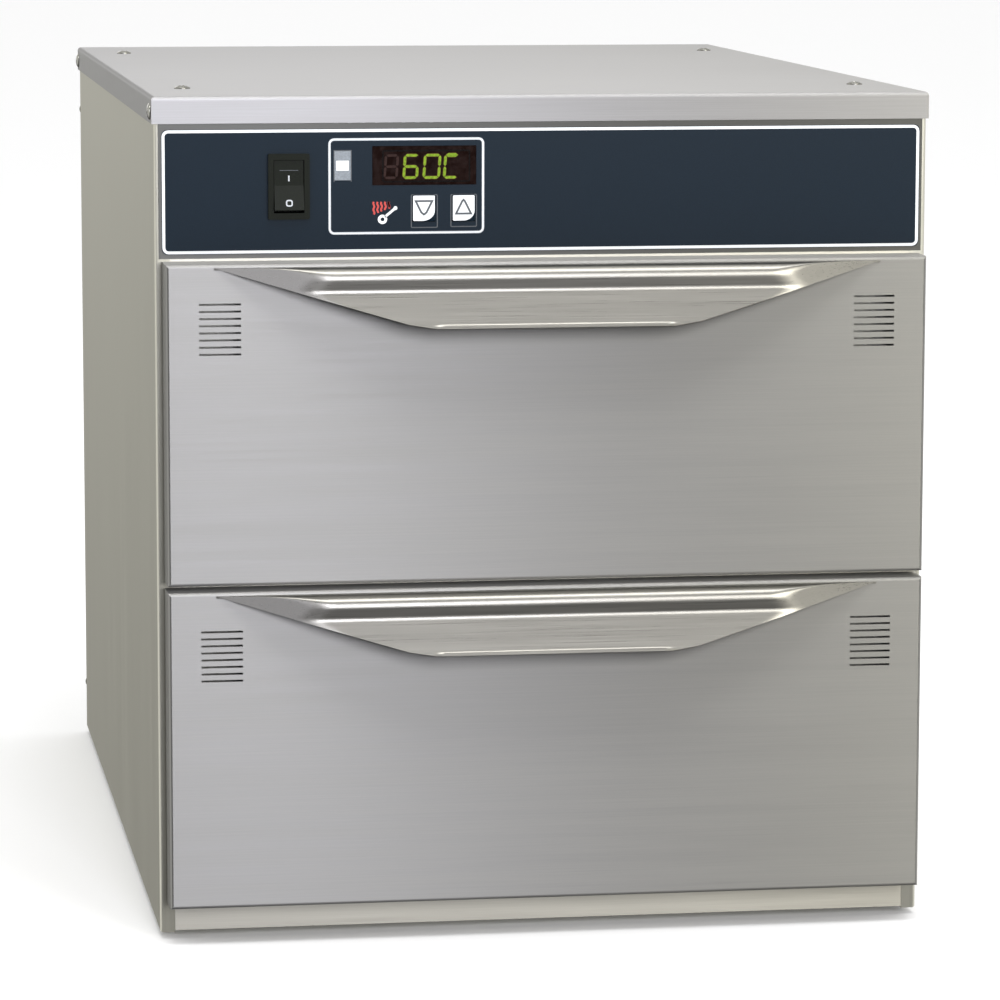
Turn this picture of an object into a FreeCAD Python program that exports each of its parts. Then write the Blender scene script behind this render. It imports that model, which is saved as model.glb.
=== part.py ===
import FreeCAD
import Part
import os
import re

import Sketcher
from FreeCAD import Placement, Rotation, Vector

# Countertop warming drawer: a narrow two-drawer food warmer for full-size pans.
# Frame: +X to the right, +Y to the back, +Z up. The drawers open towards -Y.
# X = 0 is the middle plane, Z = 0 the worktop under the feet, and Y = 0 lies half
# way between the lip of the drawer pulls and the tip of the cord gland.
# The sizes run from the inside out: the pans set the drawers, and these the casing.

doc = FreeCAD.newDocument("WarmingDrawer")
sizes = doc.addObject("Spreadsheet::Sheet", "Sizes")

drivingSizes = [
    ("sheet_gauge", 1, "stainless sheet of the casing and the drawer skins"),
    ("seam", 0.1, "gap between nested sheets"),
    ("pan_length", 530, "full-size food pan, rim front to back"),
    ("pan_width", 325, "full-size food pan, rim side to side"),
    ("pan_depth", 150, "food pan below its rim"),
    ("pan_gauge", 0.8, "sheet of the food pan"),
    ("pan_rim", 13, "rim of the food pan"),
    ("pan_taper", 4, "slope of the pan walls in degrees"),
    ("pan_corner", 32, "corner of the pan's mouth"),
    ("pan_rim_corner", 20, "corner of the pan's rim"),
    ("pan_floor_bevel", 9, "slope round the pan's floor"),
    ("pan_play", 1.3, "pan rim to carrier wall"),
    ("pan_setback", 22, "casing front to the front of the pan"),
    ("pan_top_space", 11.4, "seat of the pan to the top of the drawer front"),
    ("pan_floor_space", 9, "bottom of the drawer front to the floor of the pan"),
    ("carrier_gauge", 1.5, "sheet of the pan carrier"),
    ("carrier_height", 62, "wall of the pan carrier"),
    ("carrier_ledge", 12, "ledge under the pan rim"),
    ("carrier_tab", 24, "welded tab of the carrier on the inner panel"),
    ("cavity_gap", 5, "lower edge of the drawer front to the cavity floor"),
    ("cavity_end", 12, "carrier to the back of the cavity"),
    ("slide_thickness", 12.7, "telescopic slide, wall to carrier"),
    ("slide_height", 45, "cabinet member of a slide"),
    ("slide_gauge", 1.2, "sheet of the slide members"),
    ("slide_flange", 10, "flange of the cabinet member"),
    ("slide_lip", 2, "turned lip of the cabinet member"),
    ("slide_nest", 5, "cavity wall to the flanges of the drawer member"),
    ("slide_step", 0.5, "edge of the middle member to the web of the drawer member"),
    ("slide_setback", 6, "casing front to the slides"),
    ("slide_end", 8.8, "slides to the back of the pan carrier"),
    ("slide_drop", 62, "top of the drawer front to the middle of the slide"),
    ("glide_thickness", 3, "nylon glide between two slide members"),
    ("glide_length", 70, "nylon glide"),
    ("glide_play", 0.1, "clearance of a glide"),
    ("liner_bend", 8, "outside bend at the back of the heated box"),
    ("lagging_top", 14, "insulation over the heated box"),
    ("side_space", 27.9, "heated box to the side panel"),
    ("back_space", 32.2, "heated box to the back of the casing"),
    ("strip_gauge", 2.5, "heating strip"),
    ("strip_width", 20, "heating strip, bottom to top"),
    ("strip_rows", 4, "runs of the heating strip"),
    ("strip_end", 30, "floor and roof of the heated box to the heating strip"),
    ("strip_front", 60, "front of the heated box to the heating strip"),
    ("strip_space", 5, "space for the strip between the heated box and its insulation"),
    ("probe_radius", 2.2, "temperature probe"),
    ("probe_reach", 38, "half the length of the probe"),
    ("probe_gap", 4, "back of the heated box to the middle of the probe"),
    ("probe_drop", 12, "roof of the heated box to the middle of the probe"),
    ("clip_width", 8, "clip of the probe, side to side"),
    ("clip_height", 3, "clip of the probe, bottom to top"),
    ("foot_height", 3.5, "feet below the casing"),
    ("foot_radius", 12.5, "rubber foot"),
    ("foot_inset", 42, "foot centre from the sides of the casing"),
    ("foot_front_inset", 48, "foot centre from the front and back of the casing"),
    ("foot_stem", 4, "stem of a foot through the base"),
    ("toe_height", 17, "casing bottom to the lower drawer front"),
    ("drawer_gap", 3.4, "gap between the drawer fronts"),
    ("panel_gap", 1.4, "gap between the upper drawer and the control panel"),
    ("panel_height", 70.9, "control panel, bottom to top"),
    ("cover_lip", 14.4, "turned-down rim of the top cover"),
    ("cover_bend", 2.2, "outside bend of the top cover"),
    ("side_bend", 1.6, "outside bend of the side panels"),
    ("stile_width", 8, "front and back returns of the side panels"),
    ("top_flange", 34, "top return of the side panels"),
    ("base_rim", 12, "upturned rim of the base"),
    ("rail_height", 12, "middle rail between the drawers"),
    ("rail_depth", 26, "returns of the middle rail"),
    ("front_side", 5, "side of the casing to the drawer fronts"),
    ("front_thickness", 20, "drawer front, skin to back"),
    ("front_bend", 1.8, "outside bend of a drawer skin"),
    ("pull_side", 25, "side of the drawer front to the drawer pull"),
    ("pull_flank", 115, "sloping edge of the pull, side to side"),
    ("pull_height", 31.5, "drawer pull, top to lip"),
    ("pull_crest", 12, "reach of the pull's rolled crest"),
    ("pull_step", 12.5, "drop from the top to the pull's crease"),
    ("pull_reach", 21, "reach of the pull's lip"),
    ("pull_gauge", 1.2, "sheet of the pull"),
    ("pull_roll", 9, "bend at the crest of the pull"),
    ("pull_crease", 3, "bend at the crease of the pull"),
    ("pull_corner", 14, "corner of the pull's outline, side to side"),
    ("pull_corner_rise", 2.2, "corner of the pull's outline, bottom to top"),
    ("hem_height", 3.2, "folded hem behind the lip of the pull"),
    ("hem_end", 2, "end of the lip to the hem"),
    ("vent_width", 22, "vent slot, side to side"),
    ("vent_slot", 1.1, "vent slot, bottom to top"),
    ("vent_pitch", 3.76, "vent slots, one to the next"),
    ("vent_count", 8, "vent slots in a group"),
    ("vent_side", 17.5, "vent group to the side of the drawer front"),
    ("vent_drop", 20.5, "first vent slot below the top of the drawer front"),
    ("vent_margin", 6, "vent slots to the insulation of the drawer front"),
    ("port_width", 3, "inner vent port"),
    ("port_height", 24, "inner vent port, bottom to top"),
    ("port_pitch", 7, "inner vent ports, one to the next"),
    ("port_count", 4, "inner vent ports in a group"),
    ("port_drop", 3, "first vent slot down to the inner ports"),
    ("port_margin", 10.3, "tab of the pan carrier to an open vent shutter"),
    ("shutter_gauge", 0.8, "vent shutter"),
    ("shutter_margin", 4, "vent shutter round its slots"),
    ("shutter_play", 0.25, "clearance round a vent shutter"),
    ("guide_gauge", 1.2, "guide of a vent shutter"),
    ("guide_lip", 2, "lip of a guide over its shutter"),
    ("tab_reach", 6, "finger tab of a vent shutter"),
    ("tab_width", 16, "finger tab, side to side"),
    ("tab_rise", 3, "lower edge of a vent shutter to its finger tab"),
    ("fascia_side", 3.5, "side of the casing to the control panel"),
    ("overlay_gauge", 0.5, "printed overlay"),
    ("overlay_side", 1.5, "side of the control panel to the overlay"),
    ("overlay_low", 2.3, "bottom of the control panel to the overlay"),
    ("overlay_high", 3, "top of the control panel to the overlay"),
    ("overlay_corner", 3, "corner of the overlay"),
    ("switch_place", 67.1, "left end of the overlay to the rocker switch"),
    ("switch_rise", 37.7, "bottom of the control panel to the rocker switch"),
    ("switch_width", 22, "switch rim"),
    ("switch_height", 34.6, "switch rim, bottom to top"),
    ("switch_rim", 2, "thickness of the switch rim"),
    ("switch_step", 1.4, "switch rim beyond the switch body"),
    ("switch_depth", 24, "switch body behind the panel"),
    ("switch_well", 11, "well of the rocker behind the panel"),
    ("switch_corner", 0.9, "corner of the switch rim"),
    ("rocker_width", 15.6, "rocker"),
    ("rocker_height", 27.4, "rocker, bottom to top"),
    ("rocker_play", 0.3, "clearance round the rocker"),
    ("rocker_tilt", 7, "rocker from its middle to on, in degrees"),
    ("rocker_sink", 3.6, "overlay to the pivot of the rocker"),
    ("rocker_proud", 0.6, "rocker in front of the switch rim"),
    ("rocker_dish", 1.5, "hollow at the middle of the rocker"),
    ("rocker_edge", 1.2, "edge of the rocker in front of its pivot"),
    ("rocker_root", 3.2, "rocker behind its pivot"),
    ("rocker_waist", 6, "half height of the rocker behind its pivot"),
    ("rocker_draft", 0.4, "slope at the ends of the rocker"),
    ("rocker_pin", 1.5, "pivot of the rocker"),
    ("pin_length", 1.2, "pivot beyond the side of the rocker"),
    ("pin_play", 0.06, "clearance of the pivot"),
    ("blade_width", 6.3, "blade terminal"),
    ("blade_gauge", 0.8, "thickness of a blade terminal"),
    ("blade_pitch", 8, "blade terminals, one to the next"),
    ("blade_length", 8, "blade terminal behind the switch"),
    ("display_place", 139.3, "left end of the overlay to the display"),
    ("display_rise", 48.2, "bottom of the control panel to the display"),
    ("display_width", 55.4, "display window"),
    ("display_height", 20.6, "display window, bottom to top"),
    ("display_sink", 0.2, "display window behind the overlay's face"),
    ("lamp_place", 95.7, "left end of the overlay to the heat lamp"),
    ("lamp_rise", 48.4, "bottom of the control panel to the heat lamp"),
    ("lamp_width", 8.6, "lamp frame"),
    ("lamp_height", 15.4, "lamp frame, bottom to top"),
    ("lamp_proud", 0.3, "lamp frame in front of the overlay"),
    ("lens_width", 6.6, "lamp lens"),
    ("lens_height", 5.2, "lamp lens, bottom to top"),
    ("lens_proud", 0.2, "lamp lens in front of the overlay"),
    ("down_place", 138.9, "left end of the overlay to the lowering key"),
    ("up_place", 160.2, "left end of the overlay to the raising key"),
    ("key_rise", 25.6, "bottom of the control panel to the keys"),
    ("key_width", 12.3, "key"),
    ("key_height", 14.2, "key, bottom to top"),
    ("key_corner", 0.8, "corner of a key"),
    ("key_travel", 0.6, "travel of a key"),
    ("key_proud", 0.5, "key in front of the overlay"),
    ("key_play", 0.25, "clearance round a key"),
    ("key_space", 3, "back of the control panel to the control module"),
    ("key_rest", 0.4, "pressed key to the control module"),
    ("key_collar", 1, "collar of a key beyond its cap"),
    ("module_margin", 6.5, "control module beyond its outermost control"),
    ("module_depth", 40, "control module, front to back"),
    ("pillar_width", 4, "pillar of the control module"),
    ("gland_side", 69, "side of the casing to the cord gland"),
    ("gland_rise", 42.4, "bottom of the control panel to the cord gland"),
    ("gland_reach", 20, "cord gland behind the casing"),
    ("gland_radius", 12, "collar of the cord gland"),
    ("gland_collar", 6, "length of the collar"),
    ("gland_thread", 8, "thread of the cord gland"),
    ("gland_bore", 4.5, "bore of the cord gland"),
    ("gland_depth", 14, "thread of the cord gland inside the back panel"),
    ("gland_neck", 8.5, "neck of the cord gland"),
    ("nut_height", 5, "nut of the cord gland"),
    ("nut_play", 0.05, "clearance of the nut on the thread"),
    ("block_place", 52, "cord gland to the terminal block"),
    ("block_width", 34, "terminal block"),
    ("block_height", 22, "terminal block, bottom to top"),
    ("block_depth", 18, "terminal block, front to back"),
    ("clamp_pitch", 11, "clamps of the terminal block, one to the next"),
    ("clamp_width", 7, "well of a clamp"),
    ("clamp_height", 16, "well of a clamp, bottom to top"),
    ("clamp_depth", 8, "well of a clamp, front to back"),
    ("screw_shank", 2, "screw shank"),
    ("screw_head", 4.4, "screw head"),
    ("screw_rise", 1.8, "height of a screw head"),
    ("screw_length", 4, "screw under its head"),
    ("cover_screw_side", 23, "screw in the cover from the side"),
    ("cover_screw_front", 78, "screw in the cover from the front"),
    ("cover_screw_back", 96, "screw in the cover from the back"),
    ("lip_screw_end", 9, "screw in the side lip from the front or back"),
    ("back_screw_low", 30, "screw in the back panel from the bottom"),
    ("back_screw_high", 40, "screw in the back panel from the top"),
    ("outlet_count", 10, "cooling slots in the back"),
    ("outlet_pitch", 9, "cooling slots, one to the next"),
    ("outlet_width", 3, "cooling slot"),
    ("outlet_height", 24, "cooling slot, bottom to top"),
]
for row, (alias, number, note) in enumerate(drivingSizes, start=1):
    sizes.set(f"A{row}", note)
    sizes.set(f"B{row}", str(number))
    sizes.setAlias(f"B{row}", alias)
doc.recompute()
aliasNames = {alias for alias, _, _ in drivingSizes}


def bound(expression):
    """The expression with every size name pointed at the sheet."""
    point = lambda word: f"Sizes.{word[0]}" if word[0] in aliasNames else word[0]
    return re.sub(r"[a-z]\w*", point, str(expression))


def value(expression):
    return float(sizes.evalExpression(bound(expression)))


# --- derived places, as expressions of the sizes -------------------------------

carrierHalf = "(pan_width / 2 + pan_play + carrier_gauge)"
cavityHalf = f"({carrierHalf} + slide_thickness)"
linerHalf = f"({cavityHalf} + sheet_gauge)"
sideInner = f"({linerHalf} + side_space)"
sideOuter = f"({sideInner} + sheet_gauge)"
casingHalf = f"({sideOuter} + seam + sheet_gauge)"
skinHalf = f"({casingHalf} - front_side)"              # drawer fronts
pullHalf = f"({skinHalf} - pull_side)"
lipHalf = f"({pullHalf} - pull_flank)"                 # straight lip of a pull
fasciaHalf = f"({casingHalf} - fascia_side)"
overlayHalf = f"({fasciaHalf} - overlay_side)"

panEnd = "(pan_play + carrier_gauge)"
casingDepth = f"(pan_setback + pan_length + {panEnd} + cavity_end + sheet_gauge + back_space)"
frontPlane = f"((pull_reach + front_thickness - {casingDepth} - gland_reach) / 2)"
backPlane = f"({frontPlane} + {casingDepth})"
stileFront = f"({frontPlane} + sheet_gauge + seam)"
stileBack = f"({stileFront} + sheet_gauge)"
panelBack = f"({backPlane} - sheet_gauge - seam)"      # outer face of the back panel
sideBack = f"({panelBack} - sheet_gauge)"              # outer face of the side panels' back returns
carrierFront = f"({frontPlane} + pan_setback - {panEnd})"
carrierBack = f"({frontPlane} + pan_setback + pan_length + {panEnd})"
cavityBack = f"({carrierBack} + cavity_end)"
linerBack = f"({cavityBack} + sheet_gauge)"
slideFront = f"({frontPlane} + slide_setback)"
slideBack = f"({carrierBack} - slide_end)"
overlayBack = f"({stileFront} - sheet_gauge)"          # front face of the control panel
overlayFront = f"({overlayBack} - overlay_gauge)"
moduleFront = f"({stileFront} + key_space)"
skinFront = f"({frontPlane} - front_thickness)"
innerFront = f"({frontPlane} - sheet_gauge - 2 * seam)"   # front face of a drawer's inner panel
innerBack = f"({innerFront} + sheet_gauge)"

floorZ = "foot_height"
baseTop = f"({floorZ} + 2 * sheet_gauge)"
frontHeight = "(pan_depth + pan_top_space + pan_floor_space)"
drawerBottoms = {"lower": f"({floorZ} + toe_height)"}
drawerBottoms["upper"] = f"({drawerBottoms['lower']} + {frontHeight} + drawer_gap)"
drawersTop = f"({drawerBottoms['upper']} + {frontHeight})"
cavityFloor = f"({drawerBottoms['lower']} + cavity_gap)"
cavityTop = f"({drawersTop} - cavity_gap)"
linerTop = f"({cavityTop} + sheet_gauge)"
linerBottom = f"({cavityFloor} - sheet_gauge)"
laggingTop = f"({linerTop} + lagging_top)"
fasciaBottom = f"({drawersTop} + panel_gap)"
fasciaTop = f"({fasciaBottom} + panel_height)"
topZ = f"({fasciaTop} + seam + cover_lip)"


# --- building blocks ------------------------------------------------------------

planeSign = {"XY_Plane": 1, "XZ_Plane": -1, "YZ_Plane": 1}  # the plane's normal along its axis


def newBody(label):
    body = doc.addObject("PartDesign::Body", label)
    body.Label = label
    return body


def newSketch(body, plane, height):
    """A sketch on one of the body's origin planes, moved to a height along its axis."""
    sketch = body.newObject("Sketcher::SketchObject", "Outline")
    sketch.AttachmentSupport = [(next(f for f in body.Origin.OriginFeatures if f.Role == plane), "")]
    sketch.MapMode = "FlatFace"
    sketch.setExpression("AttachmentOffset.Base.z", bound(f"{planeSign[plane]} * ({height})"))
    return sketch


def drive(sketch, kind, index, point, expression):
    """Hold one coordinate of a sketch point at an expression."""
    place = Sketcher.Constraint(kind, -1, 1, index, point, value(expression))
    sketch.setExpression(f"Constraints[{sketch.addConstraint(place)}]", bound(expression))


def drawOutline(sketch, corners):
    """A closed outline of straight lines through the corners, each an (x, y) pair of expressions."""
    first = sketch.GeometryCount
    points = [Vector(value(across), value(up), 0) for across, up in corners]
    following = [(step + 1) % len(points) for step in range(len(points))]
    for start, end in zip(points, [points[step] for step in following]):
        sketch.addGeometry(Part.LineSegment(start, end))
    for step, other in enumerate(following):
        sketch.addConstraint(Sketcher.Constraint("Coincident", first + step, 2, first + other, 1))
    for step, (across, up) in enumerate(corners):
        drive(sketch, "DistanceX", first + step, 1, across)
        drive(sketch, "DistanceY", first + step, 1, up)


def drawRounded(sketch, corners, radius):
    """A rectangle with rounded corners: four driven lines joined by arcs of a driven radius."""
    (left, low), _, (right, high), _ = corners
    starts = [((f"{left} + {radius}", low), (f"{right} - {radius}", low)),
              ((right, f"{low} + {radius}"), (right, f"{high} - {radius}")),
              ((f"{right} - {radius}", high), (f"{left} + {radius}", high)),
              ((left, f"{high} - {radius}"), (left, f"{low} + {radius}"))]
    size = value(radius)
    first = sketch.GeometryCount
    points = [[Vector(value(across), value(up), 0) for across, up in pair] for pair in starts]
    for start, end in points:
        sketch.addGeometry(Part.LineSegment(start, end))
    for step, (_, end) in enumerate(points):
        following = points[(step + 1) % 4][0]
        chord = following - end
        centre = (end + following) * 0.5 + Vector(-chord.y, chord.x, 0) * 0.5
        swing = centre + (end + following - centre * 2).normalize() * size
        arc = sketch.addGeometry(Part.Arc(end, swing, following))
        sketch.addConstraint(Sketcher.Constraint("Coincident", first + step, 2, arc, 1))
        sketch.addConstraint(Sketcher.Constraint("Coincident", arc, 2, first + (step + 1) % 4, 1))
        held = sketch.addConstraint(Sketcher.Constraint("Radius", arc, size))
        sketch.setExpression(f"Constraints[{held}]", bound(radius))
    for step, pair in enumerate(starts):
        for point, (across, up) in enumerate(pair, start=1):
            drive(sketch, "DistanceX", first + step, point, across)
            drive(sketch, "DistanceY", first + step, point, up)


def drawCircle(sketch, across, up, radius):
    centre = Vector(value(across), value(up), 0)
    index = sketch.addGeometry(Part.Circle(centre, Vector(0, 0, 1), value(radius)))
    place = sketch.addConstraint(Sketcher.Constraint("Radius", index, value(radius)))
    sketch.setExpression(f"Constraints[{place}]", bound(radius))
    drive(sketch, "DistanceX", index, 3, across)
    drive(sketch, "DistanceY", index, 3, up)


def rectangle(left, right, low, high):
    return [(left, low), (right, low), (right, high), (left, high)]


def ordered(side, inner, outer):
    """Two places across, from left to right, on the left (-1) or right (+1) side."""
    return (inner, outer) if side > 0 else (outer, inner)


def centred(across, up, width, height):
    """A rectangle round a middle point."""
    return rectangle(f"{across} - ({width}) / 2", f"{across} + ({width}) / 2",
                     f"{up} - ({height}) / 2", f"{up} + ({height}) / 2")


def extrude(body, kind, plane, start, end, outlines=(), circles=()):
    """A Pad or Pocket of the outlines and circles between two heights on the plane's axis."""
    sketch = newSketch(body, plane, start)
    for corners in outlines:
        drawOutline(sketch, corners)
    for circle in circles:
        drawCircle(sketch, *circle)
    feature = body.newObject(f"PartDesign::{kind}", kind)
    feature.Profile = sketch
    feature.setExpression("Length", bound(f"({end}) - ({start})"))
    feature.Reversed = (planeSign[plane] < 0) == (kind == "Pad")
    return feature


def pad(body, plane, start, end, *outlines, circles=()):
    return extrude(body, "Pad", plane, start, end, outlines, circles)


def pocket(body, plane, start, end, *outlines, circles=()):
    return extrude(body, "Pocket", plane, start, end, outlines, circles)


def chosen(items, kind, test):
    return [f"{kind}{number}" for number, item in enumerate(items, start=1) if test(item)]


def runsAlong(edge, axis, least=0.999):
    """Whether the ends of an edge lie along the axis x, y or z from each other."""
    way = edge.Vertexes[-1].Point - edge.Vertexes[0].Point
    return abs(getattr(way, axis)) > least * edge.Length


def bend(body, radius, test):
    """A fillet on the edges of the body that pass the test."""
    doc.recompute()
    base = body.Tip
    fillet = body.newObject("PartDesign::Fillet", "Bend")
    fillet.Base = (base, chosen(base.Shape.Edges, "Edge", test))
    fillet.setExpression("Radius", bound(radius))
    return fillet


def bevel(body, size, test):
    """A chamfer on the edges of the body that pass the test."""
    doc.recompute()
    base = body.Tip
    slope = body.newObject("PartDesign::Chamfer", "Bevel")
    slope.Base = (base, chosen(base.Shape.Edges, "Edge", test))
    slope.setExpression("Size", bound(size))
    return slope


def hollow(body, gauge, test):
    """Keep a wall of the gauge inside the body's faces, open at the faces that pass the test."""
    doc.recompute()
    base = body.Tip
    shell = body.newObject("PartDesign::Thickness", "Wall")
    shell.Base = (base, chosen(base.Shape.Faces, "Face", test))
    shell.setExpression("Value", bound(gauge))
    shell.Reversed = True
    return shell


def foldedTray(body, half, low, high, front, back, opensBack, radius, axes):
    """A tray folded from sheet: a closed face in the XZ plane with four walls, bent along the axes."""
    closed = front if opensBack else back
    inner = f"({front} + sheet_gauge)" if opensBack else f"({back} - sheet_gauge)"
    pad(body, "XZ_Plane", front, back, rectangle(f"-{half}", half, low, high))
    start, end = (inner, f"{back} + seam") if opensBack else (f"{front} - seam", inner)
    pocket(body, "XZ_Plane", start, end,
           rectangle(f"-{half} + sheet_gauge", f"{half} - sheet_gauge",
                     f"{low} + sheet_gauge", f"{high} - sheet_gauge"))
    for face, size in ((inner, f"{radius} - sheet_gauge"), (closed, radius)):
        bend(body, size, lambda e: at(e.CenterOfMass.y, face) and any(runsAlong(e, axis) for axis in axes))


def at(number, expression, slack=0.01):
    return abs(number - value(expression)) < slack


def plainPlate(label, plane, start, end, *outlines, circles=()):
    body = newBody(label)
    pad(body, plane, start, end, *outlines, circles=circles)
    return body


def repeat(body, feature, count, pitch, axis):
    """A row of copies of a feature along the H_Axis or V_Axis of its sketch."""
    doc.recompute()
    row = body.newObject("PartDesign::LinearPattern", "Row")
    row.Originals = [feature]
    row.Direction = (feature.Profile[0], [axis])
    row.setExpression("Length", bound(f"({pitch}) * ({count} - 1)"))
    row.setExpression("Occurrences", bound(count))
    body.Tip = row
    return row


turnTo = {"+Z": Rotation(), "-Z": Rotation(Vector(1, 0, 0), 180),
          "+Y": Rotation(Vector(1, 0, 0), -90), "-Y": Rotation(Vector(1, 0, 0), 90),
          "+X": Rotation(Vector(0, 1, 0), 90), "-X": Rotation(Vector(0, 1, 0), -90)}


def placed(thing, spot, axis="+Z"):
    """Put a primitive at a spot given as expressions, pointing along an axis."""
    thing.Placement = Placement(Vector(), turnTo[axis])
    for letter, expression in zip("xyz", spot):
        thing.setExpression(f"Placement.Base.{letter}", bound(expression))
    return thing


def cylinder(radius, length, spot, axis="+Z"):
    rod = doc.addObject("Part::Cylinder", "Rod")
    rod.setExpression("Radius", bound(radius))
    rod.setExpression("Height", bound(length))
    return placed(rod, spot, axis)


def prism(corners, radius, length, spot, axis="+Z"):
    """A rod with a regular polygon for its section, the radius reaching to the corners."""
    rod = doc.addObject("Part::Prism", "Rod")
    rod.Polygon = corners
    rod.setExpression("Circumradius", bound(radius))
    rod.setExpression("Height", bound(length))
    return placed(rod, spot, axis)


def fused(pieces, label="Fused"):
    union = doc.addObject("Part::MultiFuse", "Fused")
    union.Shapes = pieces
    union.Label = label
    return union


def grouped(label, pieces):
    """One sub-part made of identical separate solids."""
    group = doc.addObject("Part::Compound", label)
    group.Links = pieces
    group.Label = label
    return group


def screw(spot, axis):
    """A low-head screw: its head stands on the spot, pointing along the axis, with its shank below."""
    back = axis.replace("+", "~").replace("-", "+").replace("~", "-")
    head = prism(12, "screw_head", "screw_rise", spot, axis)
    shank = prism(6, "screw_shank", "screw_length", spot, back)
    return fused([head, shank])


subparts = []


def keep(thing):
    """Register a finished sub-part."""
    subparts.append(thing)
    return thing


# --- casing ---------------------------------------------------------------------

coverScrews = [(f"{side} * ({casingHalf} - cover_screw_side)", place) for side in (-1, 1)
               for place in (f"{frontPlane} + cover_screw_front", f"{backPlane} - cover_screw_back")]
lipScrewPlaces = (f"{frontPlane} + lip_screw_end", f"{backPlane} - lip_screw_end")
lipScrewZ = f"({topZ} - cover_lip / 2 - sheet_gauge)"
backScrewX = f"({sideOuter} - stile_width / 2)"
backScrewZ = (f"{floorZ} + back_screw_low", f"{topZ} - back_screw_high")
glandAcross = f"({casingHalf} - gland_side)"
glandUp = f"({fasciaBottom} + gland_rise)"


def screwHole(across, up):
    """Square hole for a screw, hidden under its head."""
    return centred(across, up, "2 * (screw_shank + seam)", "2 * (screw_shank + seam)")


def topCover():
    """Shallow folded cap that drops over the side and back panels."""
    body = newBody("top_cover")
    pad(body, "XY_Plane", f"{topZ} - cover_lip", topZ,
        rectangle(f"-{casingHalf}", casingHalf, frontPlane, backPlane))
    bend(body, "cover_bend", lambda e: at(e.CenterOfMass.z, topZ))
    hollow(body, "sheet_gauge", lambda f: at(f.CenterOfMass.z, f"{topZ} - cover_lip"))
    pocket(body, "XY_Plane", f"{topZ} - 2 * sheet_gauge", f"{topZ} + sheet_gauge",
           *[screwHole(across, back) for across, back in coverScrews])
    pocket(body, "YZ_Plane", f"-{casingHalf} - sheet_gauge", f"{casingHalf} + sheet_gauge",
           *[screwHole(back, lipScrewZ) for back in lipScrewPlaces])
    return body


def sidePanel(label, side):
    """Folded side sheet with front, back, bottom and top returns."""
    body = newBody(label)
    inner = f"{side} * ({sideOuter} - stile_width)"
    outer = f"{side} * {sideOuter}"
    high = f"{topZ} - sheet_gauge"
    pad(body, "XY_Plane", floorZ, high, rectangle(*ordered(side, inner, outer), stileFront, sideBack))
    bend(body, "side_bend", lambda e: at(e.CenterOfMass.x, outer))
    hollow(body, "sheet_gauge", lambda f: at(f.CenterOfMass.x, inner))
    # corner reliefs under the front and back bends of the top cover
    pocket(body, "XY_Plane", f"{high} - cover_bend", f"{high} + seam",
           *[rectangle(*ordered(side, f"{inner} - {side} * seam", f"{outer} + {side} * seam"), low, far)
             for low, far in ((f"{stileFront} - seam", f"{stileFront} + cover_bend"),
                              (f"{sideBack} - cover_bend", f"{sideBack} + seam"))])
    reach = f"{side} * ({sideOuter} - top_flange)"
    root = f"{side} * ({sideOuter} - stile_width / 2)"
    pad(body, "XY_Plane", f"{high} - sheet_gauge", high,
        rectangle(*ordered(side, reach, root), f"{stileFront} + cover_bend", f"{sideBack} - cover_bend"))
    pocket(body, "XY_Plane", f"{high} - 2 * sheet_gauge", f"{high} + sheet_gauge",
           *[screwHole(*spot) for spot in coverScrews if value(spot[0]) * side > 0])
    pocket(body, "YZ_Plane", f"{outer} - 2 * sheet_gauge", f"{outer} + 2 * sheet_gauge",
           *[screwHole(back, lipScrewZ) for back in lipScrewPlaces])
    pocket(body, "XZ_Plane", f"{sideBack} - 2 * sheet_gauge", f"{sideBack} + sheet_gauge",
           *[screwHole(f"{side} * {backScrewX}", up) for up in backScrewZ])
    return body


def backPanel():
    """Flat back sheet with a row of cooling slots and the hole for the cord gland."""
    half = f"({sideOuter} - side_bend)"
    body = plainPlate("back_panel", "XZ_Plane", sideBack, panelBack,
                      rectangle(f"-{half}", half, floorZ, f"{topZ} - cover_bend - seam"))
    pocket(body, "XZ_Plane", f"{sideBack} - sheet_gauge", f"{panelBack} + sheet_gauge",
           *[screwHole(f"{side} * {backScrewX}", up) for side in (-1, 1) for up in backScrewZ],
           circles=[(glandAcross, glandUp, "gland_thread + seam")])
    slot = pocket(body, "XZ_Plane", f"{sideBack} - sheet_gauge", f"{panelBack} + sheet_gauge",
                  centred("-(outlet_count - 1) * outlet_pitch / 2", glandUp, "outlet_width", "outlet_height"))
    repeat(body, slot, "outlet_count", "outlet_pitch", "H_Axis")
    return body


footX = f"({casingHalf} - foot_inset)"
footPlaces = [(f"{side} * {footX}", place) for side in (-1, 1)
              for place in (f"{frontPlane} + foot_front_inset", f"{backPlane} - foot_front_inset")]


def basePan():
    """Base tray that stands on the bottom returns of the side panels."""
    body = newBody("base_pan")
    half = f"({sideInner} - side_bend + sheet_gauge)"
    low = f"({floorZ} + sheet_gauge)"
    pad(body, "XY_Plane", low, f"{low} + base_rim",
        rectangle(f"-{half}", half, f"{stileBack} + sheet_gauge", f"{sideBack} - sheet_gauge - seam"))
    hollow(body, "sheet_gauge", lambda f: at(f.CenterOfMass.z, f"{low} + base_rim"))
    pocket(body, "XY_Plane", f"{low} - sheet_gauge", f"{low} + 2 * sheet_gauge",
           *[centred(across, back, "2 * (foot_stem + seam)", "2 * (foot_stem + seam)")
             for across, back in footPlaces])
    return body


def foot(across, back):
    """Rubber foot with a plain stem through the base."""
    sole = prism(16, "foot_radius", "foot_height + sheet_gauge", (across, back, "0"))
    stem = prism(8, "foot_stem", "foot_height + 2 * sheet_gauge", (across, back, "0"))
    return fused([sole, stem])


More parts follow.
